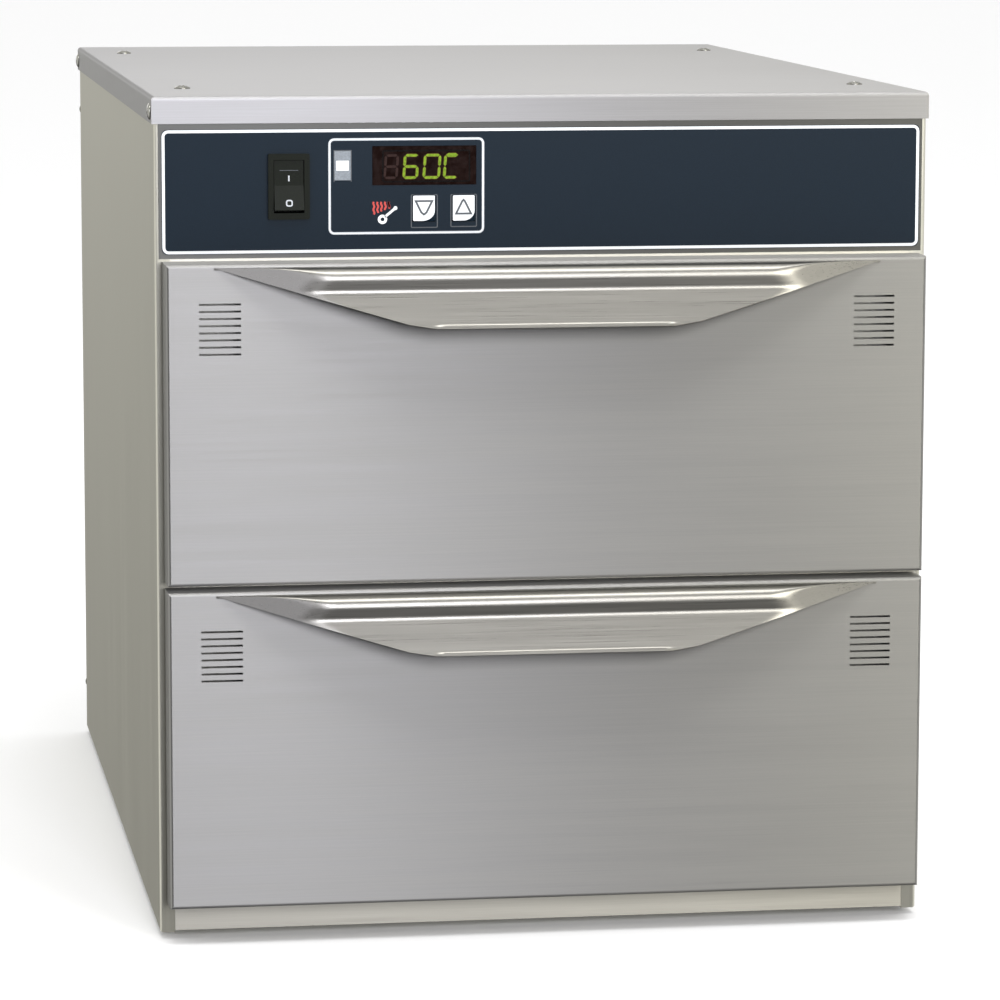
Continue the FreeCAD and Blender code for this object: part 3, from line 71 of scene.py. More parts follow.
def newMaterial(name, **shader):
    # an empty material with its shader; what is the same all over the surface is set on the shader itself
    material = bpy.data.materials.new(name)
    material.use_nodes = True
    tree = material.node_tree
    tree.nodes.clear()
    surface = addNode(tree, "ShaderNodeBsdfPrincipled", **shader)
    addNode(tree, "ShaderNodeOutputMaterial", {"Surface": surface})
    where = addNode(tree, "ShaderNodeTexCoord")
    return material, tree, surface, where.outputs["Object"]


def feed(tree, source, surface, socket):
    tree.links.new(source.outputs[0], surface.inputs[socket])


def brushedSteel(name, along, dark, light, roughness, smear, edge=0.8):
    # stainless sheet ground with a belt (No. 4 finish): fine parallel scratches that draw every
    # highlight out across them; a real scratch is about 0.1 mm wide, drawn coarser here so that it shows
    grainMm, lengthMm = 0.4, 70.0
    # faint bands left by the belt from pass to pass
    passMm, passLengthMm, passShare = 6.0, 400.0, 0.25
    # seen at a grazing angle, dulled sheet stays darker than polished steel, and slightly warm
    grazing = (edge, edge, edge * 0.97, 1.0)
    material, tree, surface, where = newMaterial(name, Metallic=1.0, Anisotropic=smear, Anisotropic_Rotation=0.25,
                                                 Specular_Tint=grazing)
    scratchWay = addNode(tree, "ShaderNodeCombineXYZ", **{axis.upper(): float(axis == along) for axis in "xyz"})
    feed(tree, scratchWay, surface, "Tangent")
    scratchScale = [1000 / (lengthMm if axis == along else grainMm) for axis in "xyz"]
    scratchPlace = addNode(tree, "ShaderNodeMapping", {"Vector": where}, Scale=scratchScale)
    grain = addNode(tree, "ShaderNodeTexNoise", {"Vector": scratchPlace}, Scale=1.0, Detail=3.0, Roughness=0.6)
    passScale = [1000 / (passLengthMm if axis == along else passMm) for axis in "xyz"]
    passPlace = addNode(tree, "ShaderNodeMapping", {"Vector": where}, Scale=passScale)
    passes = addNode(tree, "ShaderNodeTexNoise", {"Vector": passPlace}, Scale=1.0, Detail=1.0)
    both = addNode(tree, "ShaderNodeMix", {2: grain, 3: passes}, data_type="FLOAT", Factor=passShare)
    tone = addNode(tree, "ShaderNodeValToRGB", {"Fac": both}, colors=((0.35, dark), (0.65, light)))
    feed(tree, tone, surface, "Base Color")
    worn = addNode(tree, "ShaderNodeMapRange", {"Value": both}, From_Min=0.3, From_Max=0.7,
                   To_Min=roughness - 0.04, To_Max=roughness + 0.04)
    feed(tree, worn, surface, "Roughness")
    relief = addNode(tree, "ShaderNodeBump", {"Height": grain}, Strength=0.10, Distance=0.02 * mm)
    feed(tree, relief, surface, "Normal")
    return material


def rolledSteel(name, dark, light, roughness, cloudMm, relief=0.004, poreMm=0.4):
    # cold-rolled or drawn sheet as it leaves the mill or the press: grey, even, with faint cloudy
    # patches where the lubricant and the tool marked it
    material, tree, surface, where = newMaterial(name, Metallic=1.0)
    place = addNode(tree, "ShaderNodeMapping", {"Vector": where}, Scale=[1000 / cloudMm] * 3)
    clouds = addNode(tree, "ShaderNodeTexNoise", {"Vector": place}, Scale=1.0, Detail=5.0, Roughness=0.6)
    tone = addNode(tree, "ShaderNodeValToRGB", {"Fac": clouds}, colors=((0.35, dark), (0.65, light)))
    feed(tree, tone, surface, "Base Color")
    dulled = addNode(tree, "ShaderNodeMapRange", {"Value": clouds}, From_Min=0.3, From_Max=0.7,
                     To_Min=roughness - 0.04, To_Max=roughness + 0.08)
    feed(tree, dulled, surface, "Roughness")
    # pores of the rolled skin, far finer in the real sheet
    fine = addNode(tree, "ShaderNodeMapping", {"Vector": where}, Scale=[1000 / poreMm] * 3)
    pores = addNode(tree, "ShaderNodeTexNoise", {"Vector": fine}, Scale=1.0, Detail=2.0)
    skin = addNode(tree, "ShaderNodeBump", {"Height": pores}, Strength=0.3, Distance=relief * mm)
    feed(tree, skin, surface, "Normal")
    return material


def mouldedPlastic(name, dark, light, roughness, grainMm=0.7, relief=0.012, **shader):
    # moulded or printed plastic and rubber: a fine spark-eroded grain, 0.5 to 3 mm as drawn and finer
    # in the real one, breaks up the gloss
    material, tree, surface, where = newMaterial(name, IOR=1.5, **shader)
    place = addNode(tree, "ShaderNodeMapping", {"Vector": where}, Scale=[1000 / grainMm] * 3)
    grain = addNode(tree, "ShaderNodeTexNoise", {"Vector": place}, Scale=1.0, Detail=2.0)
    tone = addNode(tree, "ShaderNodeValToRGB", {"Fac": grain}, colors=((0.35, dark), (0.65, light)))
    feed(tree, tone, surface, "Base Color")
    gloss = addNode(tree, "ShaderNodeMapRange", {"Value": grain}, From_Min=0.3, From_Max=0.7,
                    To_Min=roughness - 0.05, To_Max=roughness + 0.05)
    feed(tree, gloss, surface, "Roughness")
    eroded = addNode(tree, "ShaderNodeBump", {"Height": grain}, Strength=0.3, Distance=relief * mm)
    feed(tree, eroded, surface, "Normal")
    return material


def litSegment(name, dark, light, strength, mottleMm=1.3):
    # light-emitting segment behind a diffuser: an even glow, a little mottled
    material, tree, surface, where = newMaterial(name, IOR=1.5, Roughness=0.4, Specular_IOR_Level=0.1,
                                                 Emission_Strength=strength)
    place = addNode(tree, "ShaderNodeMapping", {"Vector": where}, Scale=[1000 / mottleMm] * 3)
    mottle = addNode(tree, "ShaderNodeTexNoise", {"Vector": place}, Scale=1.0, Detail=1.0)
    tone = addNode(tree, "ShaderNodeValToRGB", {"Fac": mottle}, colors=((0.35, dark), (0.65, light)))
    feed(tree, tone, surface, "Base Color")
    feed(tree, tone, surface, "Emission Color")
    return material


def glassFibre(name, dark, light, tuftMm=(2.4, 2.4, 1.1)):
    # glass wool: tangled yellow fibres in flat tufts, matt, with a soft edge that scatters light
    material, tree, surface, where = newMaterial(name, Roughness=0.95, Sheen_Weight=0.3)
    place = addNode(tree, "ShaderNodeMapping", {"Vector": where}, Scale=[1000 / size for size in tuftMm])
    tangle = addNode(tree, "ShaderNodeTexNoise", {"Vector": place}, Scale=1.0, Detail=6.0, Roughness=0.7)
    tone = addNode(tree, "ShaderNodeValToRGB", {"Fac": tangle}, colors=((0.3, dark), (0.7, light)))
    feed(tree, tone, surface, "Base Color")
    tufts = addNode(tree, "ShaderNodeBump", {"Height": tangle}, Strength=0.8, Distance=0.8 * mm)
    feed(tree, tufts, surface, "Normal")
    return material


finishes = {
    # way of the grain, darkest and lightest tone, roughness, smear across the grain
    "caseSheet": brushedSteel("brushedStainlessCasing", "z", "#b5b3a7", "#bebcb0", 0.40, 0.5, 0.6),
    "stileSheet": brushedSteel("brushedStainlessFront", "x", "#b0ada2", "#b8b5aa", 0.36, 0.6),
    "coverSheet": brushedSteel("brushedStainlessCover", "x", "#8f8e8d", "#979695", 0.42, 0.95),
    "drawerSheet": brushedSteel("brushedStainlessDrawer", "x", "#848380", "#8a8985", 0.42, 0.95),
    # painted shade: the fascia is the same brushed stainless as the cover and drawers, its tone darkened to stand for
    # the shade that falls on it under the cap
    "fasciaPaintedShadeSheet": brushedSteel("brushedStainlessFasciaPaintedShade", "x", "#51514e", "#585855", 0.42, 0.95),
    "pullSheet": brushedSteel("brushedStainlessPull", "x", "#87857f", "#8d8b85", 0.30, 0.45),
    # darkest and lightest tone, roughness, size of the cloudy patches in mm
    "linerSheet": rolledSteel("millFinishStainless", "#9d9c96", "#adaca7", 0.32, 14.0),
    "panSheet": rolledSteel("drawnStainlessPan", "#bcbcb8", "#cacac7", 0.20, 40.0, 0.002),
    "slideSheet": rolledSteel("zincPlatedSteel", "#9aa0a3", "#b0b4b4", 0.28, 6.0),
    "screwSteel": rolledSteel("pressedScrewSteel", "#8d8c84", "#a3a29b", 0.22, 1.5, 0.002),
    # darkest and lightest tone, roughness, size of the grain in mm, its depth in mm
    "overlayInk": mouldedPlastic("printedPolycarbonateOverlay", "#091722", "#0b1b27", 0.36, 0.5, 0.006,
                                 Specular_IOR_Level=0.12),
    "whiteInk": mouldedPlastic("screenPrintedWhite", "#d3d6d9", "#e0e3e5", 0.5, 0.5, 0.004),
    "greyInk": mouldedPlastic("screenPrintedGrey", "#a4a8ae", "#b7bbc0", 0.5, 0.5, 0.004),
    "redInk": mouldedPlastic("screenPrintedRed", "#a82c24", "#c03a30", 0.5, 0.5, 0.004),
    "darkInk": mouldedPlastic("screenPrintedCharcoal", "#3a3f44", "#4a4f55", 0.5, 0.5, 0.004),
    "blackNylon": mouldedPlastic("mouldedBlackNylon", "#080c05", "#0f140a", 0.42, Specular_IOR_Level=0.12),
    "greyNylon": mouldedPlastic("mouldedGreyNylon", "#6d737a", "#7d848b", 0.45),
    "whiteKey": mouldedPlastic("mouldedWhiteLens", "#eef0f0", "#fbfcfc", 0.35),
    "smokedFilter": mouldedPlastic("smokedAcrylicFilter", "#120806", "#190d0a", 0.14, 3.0, 0.002,
                                   Specular_IOR_Level=0.08),
    "filterEdge": mouldedPlastic("smokedAcrylicRebate", "#050202", "#0a0504", 0.3, 3.0, 0.002,
                                 Specular_IOR_Level=0.06),
    "nylon": mouldedPlastic("naturalNylon", "#d6d3c8", "#e4e1d6", 0.40),
    "silicone": mouldedPlastic("siliconeHeater", "#6e1f16", "#7c261b", 0.5),
    "rubber": mouldedPlastic("mouldedRubber", "#131313", "#1c1c1c", 0.75),
    # darkest and lightest tone, and for what is lit the strength of its glow
    "glassWool": glassFibre("glassFibreWool", "#b79a4e", "#dcc988"),
    "segment": litSegment("litGreenSegment", "#536c12", "#6c861c", 0.35),
    "segmentHalo": litSegment("litSegmentFringe", "#4a3a14", "#57461b", 0.25),
    # painted glow: the unlit place gets a faint glow of its own, though its segments are not lit
    "unlitPaintedGlow": litSegment("unlitSegmentPaintedGlow", "#241411", "#2c1a16", 0.05),
}
# end of a node's name, and its finish: the first match wins
finishOf = {
    "top_cover": "coverSheet", "toe_strip": "stileSheet", "middle_rail": "stileSheet", "top_rail": "stileSheet",
    "control_fascia": "fasciaPaintedShadeSheet", "_side_panel": "caseSheet", "back_panel": "caseSheet", "base_pan": "caseSheet",
    "_drawer_front": "drawerSheet", "_pull": "pullSheet", "inner_liner": "linerSheet", "_inner_panel": "linerSheet",
    "_pan_carrier": "linerSheet", "_vent_shutter": "linerSheet", "_food_pan": "panSheet", "_member": "slideSheet",
    "_screws": "screwSteel", "temperature_sensor": "screwSteel", "control_overlay": "overlayInk",
    "switch_housing": "blackNylon", "power_rocker": "blackNylon", "control_module": "blackNylon",
    "terminal_block": "blackNylon", "cord_gland": "blackNylon", "gland_nut": "blackNylon",
    "lamp_frame": "greyNylon", "_key": "overlayInk", "lamp_lens": "whiteKey", "display_window": "smokedFilter",
    "_glides": "nylon", "heating_strip": "silicone", "rubber_feet": "rubber", "_insulation": "glassWool",
    "insulation_wrap": "glassWool",
}
for nodeName, piece in nodes.items():
    finish = next(key for ending, key in finishOf.items() if nodeName.endswith(ending))
    piece.data.materials.clear()
    piece.data.materials.append(finishes[finish])
print("stage: materials on the CAD nodes")


def gridFaces(rows, columns, wrapRows=False, wrapColumns=False, flip=False):
    # quads of a grid whose vertex number is row * columns + column
    r = np.arange(rows if wrapRows else rows - 1)[:, None]
    c = np.arange(columns if wrapColumns else columns - 1)[None, :]
    rNext, cNext = (r + 1) % rows, (c + 1) % columns
    quads = np.stack([r * columns + c, rNext * columns + c, rNext * columns + cNext, r * columns + cNext], -1)
    return quads.reshape(-1, 4)[:, ::-1 if flip else 1]


def closedTube(rings, perRing):
    # rings of vertices joined into a tube that is closed at both ends
    ends = [list(range(perRing))[::-1], list(range((rings - 1) * perRing, rings * perRing))]
    return gridFaces(rings, perRing, wrapColumns=True, flip=True).tolist() + ends


def ribbon(path, width, back, front, closed=True, mitreLimit=0.35):
    # a flat band: a rectangle carried along the path, mitred at its corners; a sharp corner reaches out
    # no further than half the width / mitreLimit
    path = np.asarray(path, float)
    if closed:
        ahead, behind = np.roll(path, -1, 0) - path, path - np.roll(path, 1, 0)
    else:
        steps = np.diff(path, axis=0)
        ahead, behind = np.vstack([steps, steps[-1:]]), np.vstack([steps[:1], steps])
    ahead /= np.linalg.norm(ahead, axis=1, keepdims=True)
    behind /= np.linalg.norm(behind, axis=1, keepdims=True)
    along = ahead + behind
    along /= np.linalg.norm(along, axis=1, keepdims=True)
    side = np.stack([-along[:, 1], along[:, 0]], 1)
    reach = width / 2 / np.maximum((along * ahead).sum(1, keepdims=True), mitreLimit)
    left, right = path + side * reach, path - side * reach
    loops = [np.column_stack([edge, np.full(len(path), depth)])
             for edge, depth in ((left, back), (left, front), (right, front), (right, back))]
    n = len(path)
    faces = gridFaces(4, n, wrapRows=True, wrapColumns=closed).tolist()
    if not closed:
        faces += [[3 * n, 2 * n, n, 0], [n - 1, 2 * n - 1, 3 * n - 1, 4 * n - 1]]
    return np.vstack(loops), faces


def turned(outline, rings, middle=(0.0, 0.0)):
    # the outline carried up through rings of (size, height), each a scaled copy about the middle,
    # and closed at both ends
    middle = np.asarray(middle, float)
    sizes, heights = np.asarray(rings, float).T
    flat = middle + (np.asarray(outline, float) - middle)[None] * sizes[:, None, None]
    points = np.dstack([flat, np.broadcast_to(heights[:, None], flat.shape[:2])])
    return points.reshape(-1, 3), closedTube(*flat.shape[:2])


def slab(outline, back, front):
    # a flat plate: the outline, anticlockwise from the front, drawn out from back to front
    return turned(outline, ((1, back), (1, front)))


def roundedRectangle(low, high, radius, perCorner=6):
    # corners as quarter ellipses, anticlockwise from the low left one; radius is one number for all of them, or
    # (across, up) for each
    low, high = np.asarray(low, float), np.asarray(high, float)
    radii = np.broadcast_to(np.asarray(radius, float), (4, 2))
    corners = np.array([[low[0], low[1]], [high[0], low[1]], [high[0], high[1]], [low[0], high[1]]])
    inward = np.array([[1, 1], [-1, 1], [-1, -1], [1, -1]])
    starts = np.radians([180, 270, 0, 90])
    angles = starts[:, None] + np.linspace(0, np.pi / 2, perCorner)[None]
    circle = np.stack([np.cos(angles), np.sin(angles)], -1)
    return ((corners + inward * radii)[:, None] + circle * radii[:, None]).reshape(-1, 2)


def circleOf(radius, count, middle=(0.0, 0.0)):
    angles = np.linspace(0, 2 * np.pi, count, endpoint=False)
    return np.asarray(middle) + radius * np.stack([np.cos(angles), np.sin(angles)], 1)


def onPanel(points):
    # panel drawing (right, up, towards the eye), in mm from the middle and the ground, to the world
    return np.column_stack([points[:, 0], -points[:, 2], points[:, 1]])


def inWorld(points):
    # points that are drawn along the world's axes
    return points


def putPiece(name, shells, finish, body, creaseAngle=35.0, place=onPanel):
    # joins the shells (points in mm, faces) into one mesh that rides on a body
    points, faces, start = [], [], 0
    for shellPoints, shellFaces in shells:
        points.append(place(shellPoints))
        faces += [[start + v for v in face] for face in shellFaces]
        start += len(shellPoints)
    mesh = bpy.data.meshes.new(name)
    mesh.from_pydata((np.vstack(points) * mm).tolist(), [], faces)
    mesh.polygons.foreach_set("use_smooth", np.ones(len(mesh.polygons), bool))
    mesh.set_sharp_from_angle(angle=np.radians(creaseAngle))
    mesh.materials.append(finishes[finish])
    piece = bpy.data.objects.new(name, mesh)
    bpy.context.scene.collection.objects.link(piece)
    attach(piece, body)
    return piece


# printing on the control panel, in mm: a white border, a line round the switch, lamp and display, and marks
panelPrint = {
    "ink": 0.06, "sink": 0.05, "borderInset": 1.0, "borderWidth": 1.5, "borderCorner": 2.6,
    "ring": ((-115.2, 378.7), (-33.3, 428.3)), "ringWidth": 1.3, "ringCorner": 2.4, "coreShare": 0.4, "coreProud": 0.02,
    "keyFrames": {"down": ((-71.7, 381.4), (-57.8, 398.7)), "up": ((-50.5, 381.7), (-36.8, 398.7))},
    "keyFrameWidth": 0.5, "keyFrameCorner": 0.6,
    "lampBrackets": ((-112.8, 406.0), (-112.8, 422.5), (-103.7, 422.5), (-103.7, 406.0)), "bracketWidth": 0.45,
    # heat waves: a row whose lower ends climb to the right, and one that stands apart (place, low and high end)
    "waves": {"first": -91.7, "pitch": 2.05, "count": 5, "low": 388.6, "climb": 0.75, "high": 395.2,
              "sway": 0.28, "turns": 2, "width": 1.0, "points": 25, "apart": (-83.6, 392.2, 395.2)},
    "probe": {"ring": (-87.1, 385.9), "ringRadius": 1.75, "ringWidth": 1.5, "ringAround": 40,
              "stem": ((-85.8, 387.2), (-80.2, 391.8)), "stemWidth": 1.3,
              "bulb": 1.05, "bulbAround": 24, "bulbProud": 0.01},
}


def makePanelPrint():
    p = panelPrint
    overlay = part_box("control_overlay")
    face = -overlay[0].y / mm
    back, front = face - p["sink"], face + p["ink"]
    low = np.array([overlay[0].x, overlay[0].z]) / mm + p["borderInset"]
    high = np.array([overlay[1].x, overlay[1].z]) / mm - p["borderInset"]
    border = ribbon(roundedRectangle(low, high, p["borderCorner"]), p["borderWidth"], back, front)
    putPiece("panelBorder", [border], "whiteInk", "cabinet")
    # the grey line has a whiter core
    outline = roundedRectangle(*p["ring"], p["ringCorner"])
    ring = ribbon(outline, p["ringWidth"], back, front)
    core = ribbon(outline, p["ringWidth"] * p["coreShare"], front - p["coreProud"], front + p["coreProud"])
    putPiece("controlOutline", [ring], "greyInk", "cabinet")
    putPiece("controlOutlineCore", [core], "whiteInk", "cabinet")
    frames = [ribbon(roundedRectangle(*corners, p["keyFrameCorner"]), p["keyFrameWidth"], back, front)
              for corners in p["keyFrames"].values()]
    brackets = ribbon(p["lampBrackets"], p["bracketWidth"], back, front, closed=False)
    putPiece("keyFrames", frames + [brackets], "darkInk", "cabinet")
    # each wave: across = place + sway * sin of its turns over the full height
    w = p["waves"]
    spans = [(w["first"] + k * w["pitch"], w["low"] + k * w["climb"], w["high"]) for k in range(w["count"])]
    waves = []
    for across, bottom, top in spans + [w["apart"]]:
        up = np.linspace(bottom, top, w["points"])
        swayed = across + w["sway"] * np.sin((up - w["low"]) / (w["high"] - w["low"]) * w["turns"] * 2 * np.pi)
        waves.append(ribbon(np.column_stack([swayed, up]), w["width"], back, front, closed=False))
    putPiece("heatWaves", waves, "redInk", "cabinet")
    probe = p["probe"]
    ring = circleOf(probe["ringRadius"], probe["ringAround"], probe["ring"])
    bulb = circleOf(probe["bulb"], probe["bulbAround"], probe["stem"][1])
    marks = [ribbon(ring, probe["ringWidth"], back, front),
             ribbon(probe["stem"], probe["stemWidth"], back, front, closed=False),
             slab(bulb, back, front + probe["bulbProud"])]
    putPiece("probeMark", marks, "whiteInk", "cabinet")


makePanelPrint()
print("stage: printing on the control panel")

# seven-segment display, in mm: three lit digits and an unlit place behind a smoked filter
display = {
    "bottom": 407.2, "height": 13.1, "slant": 4.0, "thick": 1.3, "gap": 0.25, "fringe": 0.45,
    "sink": 0.02, "relief": 0.05,
    # left edge, width, lit segments, thickness of the top segment
    "digits": ((-76.4, 8.2, "acdefg", 1.3), (-65.7, 9.2, "abcdef", 1.3), (-54.8, 8.0, "adef", 1.95)),
    "unlit": (-86.6, 7.6, "abcdefg"),
    "rebate": ((-86.8, 405.8), (-40.5, 422.1)), "rebateWidth": 0.8, "rebateCorner": 0.8,
}
# each segment's ends as fractions of the digit's width and height
segmentEnds = {
    "a": ((0, 1), (1, 1)), "b": ((1, 1), (1, 0.5)), "c": ((1, 0.5), (1, 0)), "d": ((0, 0), (1, 0)),
    "e": ((0, 0.5), (0, 0)), "f": ((0, 1), (0, 0.5)), "g": ((0, 0.5), (1, 0.5)),
}


def segmentBars(left, width, lit, back, front, grow=0.0, topThick=None):
    # hexagonal bars between the segment ends, sheared by the slant of the digit
    d = display
    inset = d["thick"] / 2
    corner = np.array([left, d["bottom"]]) + inset
    extent = np.array([width, d["height"]]) - 2 * inset
    bars = []
    for letter in lit:
        thick = (topThick if letter == "a" and topThick else d["thick"]) + grow
        start, stop = corner + np.array(segmentEnds[letter]) * extent
        along = (stop - start) / np.linalg.norm(stop - start)
        side = np.array([-along[1], along[0]]) * thick / 2
        tip, root = along * d["gap"], along * (d["gap"] + thick / 2)
        bar = np.array([start + tip - along * grow, start + root - side, stop - root - side,
                        stop - tip + along * grow, stop - root + side, start + root + side])
        bar[:, 0] += (bar[:, 1] - d["bottom"]) * np.tan(np.radians(d["slant"]))
        bars.append(slab(bar, back, front))
    return bars


def makeDisplay():
    d = display
    face = -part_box("display_window")[0].y / mm
    back, front = face - d["sink"], face + d["relief"]
    # the digits stand proud of a wider fringe, the light that spreads round each segment
    for name, finish, proud, grow in (("displayDigits", "segment", face + 2 * d["relief"], 0.0),
                                      ("displayFringe", "segmentHalo", front, d["fringe"])):
        bars = [bar for left, width, letters, top in d["digits"]
                for bar in segmentBars(left, width, letters, back, proud, grow, top)]
        putPiece(name, bars, finish, "cabinet")
    # the unlit place, with a faint painted glow
    putPiece("unlitDigit", segmentBars(*d["unlit"], back, front), "unlitPaintedGlow", "cabinet")
    rebate = ribbon(roundedRectangle(*d["rebate"], d["rebateCorner"]), d["rebateWidth"], back, front)
    putPiece("displayRebate", [rebate], "filterEdge", "cabinet")


makeDisplay()
print("stage: display")

# membrane keys, in mm: a navy cap with a white field whose lower right corner is cut by an arc
keyShapes = {
    "down": {"cap": ((-71.25, 384.6), (-58.95, 398.8)), "field": ((-70.8, 384.9), (-59.2, 398.3)), "cut": (6.6, 5.4),
             "arrow": ((-69.4, 395.4), (-60.6, 395.4), (-63.6, 389.4), (-65.0, 388.3), (-66.4, 389.4))},
    "up": {"cap": ((-49.95, 384.6), (-37.65, 398.8)), "field": ((-49.5, 384.9), (-37.9, 398.3)), "cut": (6.0, 5.2),
           "arrow": ((-47.8, 388.6), (-39.8, 388.6), (-43.1, 395.2), (-43.8, 395.9), (-44.5, 395.2))},
}
keyDetail = {
    # the cap steps in towards its face: (size, depth behind the face)
    "corner": 0.8, "steps": ((1, 0.35), (0.985, 0.12), (0.96, 0.05)),
    "fieldCorner": 0.6, "fieldDepth": 0.2, "arcPoints": 12,
    "arrowWidth": 1.05, "arrowDepth": 0.1, "arrowProud": 0.05,
}


def makeKeys():
    d = keyDetail
    plain = (d["fieldCorner"], d["fieldCorner"])
    for key, shape in keyShapes.items():
        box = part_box(f"{key}_key")
        back, front = -box[1].y / mm, -box[0].y / mm
        outline = roundedRectangle(*shape["cap"], d["corner"])
        rings = [(1, back)] + [(size, front - depth) for size, depth in d["steps"]]
        cap = turned(outline, rings, np.mean(shape["cap"], 0))
        body = putPiece(f"{key}KeyCap", [cap], "overlayInk", f"{key}_key")
        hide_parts(f"{key}_key")
        outline = roundedRectangle(*shape["field"], (plain, shape["cut"], plain, plain), d["arcPoints"])
        field = slab(outline, front - d["fieldDepth"], front)
        putPiece(f"{key}KeyField", [field], "whiteInk", f"{key}_key")
        arrow = ribbon(shape["arrow"], d["arrowWidth"], front - d["arrowDepth"], front + d["arrowProud"])
        putPiece(f"{key}KeyArrow", [arrow], "darkInk", f"{key}_key")


makeKeys()
print("stage: keys")

# marks on the rocker, in mm from its pivot: across, along the rocker, and out from its hollow face
rocker = {
    "half": 13.1, "middle": 4.7, "dish": 1.5, "tilt": 7.0, "pivot": (-136.9, -286.3, 403.8), "sink": 0.05,
    "bar": ((0, 2.2), (0, 5.2)), "barWidth": 0.75,
    "ring": ((-1.45, -10.85), (1.45, -7.95)), "ringCorner": 0.9, "ringWidth": 0.7, "markProud": 0.06,
    # a thin line across the upper half, raised a little and in charcoal, lighter than the black rocker
    "upperLine": ((-4.9, 7.9), (4.9, 7.9)), "upperLineWidth": 0.3, "upperLineProud": 0.1,
}


def onRocker(points):
    # lays a mark on the hollow face, height = middle + dish * |along| / half, then turns it to the on position
    r = rocker
    tilt = np.radians(-r["tilt"])
    out = -(points[:, 2] + r["middle"] + r["dish"] * np.abs(points[:, 1]) / r["half"])
    return np.column_stack([points[:, 0], out * np.cos(tilt) - points[:, 1] * np.sin(tilt),
                            out * np.sin(tilt) + points[:, 1] * np.cos(tilt)]) + r["pivot"]


def makeRockerMarks():
    r = rocker
    ring = roundedRectangle(*r["ring"], r["ringCorner"])
    marks = [ribbon(r["bar"], r["barWidth"], -r["sink"], r["markProud"], closed=False),
             ribbon(ring, r["ringWidth"], -r["sink"], r["markProud"])]
    upperLine = ribbon(r["upperLine"], r["upperLineWidth"], -r["sink"], r["upperLineProud"], closed=False)
    putPiece("rockerMarks", marks, "greyInk", "power_rocker", place=onRocker)
    putPiece("rockerUpperLine", [upperLine], "darkInk", "power_rocker", place=onRocker)


makeRockerMarks()
print("stage: switch marks")

# low round screw heads with a cross recess, in mm; each was driven home to its own angle, in degrees
screwHead = {
    "radius": 4.4, "rise": 1.8, "rim": 0.55, "domePower": 2.6, "sink": 0.05, "eye": 0.02, "rings": 22, "around": 56,
    "slotHalf": 0.5, "slotSlope": 0.18, "slotReach": 2.3, "endSlope": 0.3, "slotDepth": 1.1,
    "firstTurn": 17, "nextTurn": 31,
}
# node: axis that its heads stand along, and which ways they face
screwRows = {"top_cover_screws": (2, (1,)), "side_cover_screws": (0, (-1, 1)), "back_panel_screws": (1, (1,))}


def headShell():
    # height over (radius, angle): a straight rim, then a flat dome, rise - (rise - rim) * (r / R) ^ domePower,
    # less the cross where the smaller of |x|, |y| is under half a slot and the larger is under its reach
    h = screwHead
    spans = np.linspace(h["eye"], 1, h["rings"])[::-1]
    angles = np.linspace(0, 2 * np.pi, h["around"], endpoint=False)
    r, a = np.meshgrid(spans * h["radius"], angles, indexing="ij")
    x, y = r * np.cos(a), r * np.sin(a)
    dome = h["rise"] - (h["rise"] - h["rim"]) * (r / h["radius"]) ** h["domePower"]
    near, far = np.minimum(abs(x), abs(y)), np.maximum(abs(x), abs(y))
    cross = np.clip((h["slotHalf"] - near) / h["slotSlope"] + 0.5, 0, 1)
    cross = cross * np.clip((h["slotReach"] - far) / h["endSlope"] + 0.5, 0, 1)
    top = np.dstack([x, y, dome - h["slotDepth"] * cross])
    foot = np.dstack([x[:1], y[:1], np.full_like(x[:1], -h["sink"])])
    points = np.vstack([foot, top])
    return points.reshape(-1, 3), closedTube(*points.shape[:2])


def makeScrews():
    h = screwHead
    head, faces = headShell()
    for node, (axis, ways) in screwRows.items():
        low, high = (np.array(corner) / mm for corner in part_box(node))
        across, up = (i for i in (0, 1, 2) if i != axis)
        # the heads stand at the four corners of the node's box
        places = [(first, second) for first in (low[across] + h["radius"], high[across] - h["radius"])
                  for second in (low[up] + h["radius"], high[up] - h["radius"])]
        shells = []
        for way in ways:
            foot = high[axis] - h["rise"] if way > 0 else low[axis] + h["rise"]
            for turn, (first, second) in enumerate(places):
                spin = np.radians(h["firstTurn"] + h["nextTurn"] * turn)
                moved = np.empty_like(head)
                moved[:, across] = first + (head[:, 0] * np.cos(spin) - head[:, 1] * np.sin(spin))
                moved[:, up] = second + (head[:, 0] * np.sin(spin) + head[:, 1] * np.cos(spin))
                moved[:, axis] = foot + way * head[:, 2]
                mirrored = (axis == 1) != (way < 0)
                shells.append((moved, [face[::-1] for face in faces] if mirrored else faces))
        piece = putPiece(node.replace("_screws", "ScrewHeads").replace("_", ""), shells, "screwSteel", "cabinet",
                         place=inWorld)
        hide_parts(node)


makeScrews()
print("stage: screws")

# rubber feet, in mm: a disc with a rounded tread, a shallow hollow below and a groove round it
feet = {
    "radius": 12.5, "around": 48,
    # share of the radius and height above the ground
    "rings": ((0.30, 0.5), (0.62, 0.5), (0.70, 0.0), (0.90, 0.0), (0.97, 0.25), (1.0, 0.8), (1.0, 1.5),
              (0.965, 1.75), (0.965, 2.1), (1.0, 2.35), (1.0, 3.2), (0.985, 3.5), (0.33, 3.52), (0.33, 5.5),
              (0.05, 5.5)),
}


def makeFeet():
    low, high = (np.array(corner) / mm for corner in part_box("rubber_feet"))
    disc, faces = turned(circleOf(feet["radius"], feet["around"]), feet["rings"])
    shells = [(disc + [x, y, 0], faces) for x in (low[0] + feet["radius"], high[0] - feet["radius"])
              for y in (low[1] + feet["radius"], high[1] - feet["radius"])]
    piece = putPiece("roundFeet", shells, "rubber", "cabinet", place=inWorld)
    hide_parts("rubber_feet")


makeFeet()
print("stage: feet")

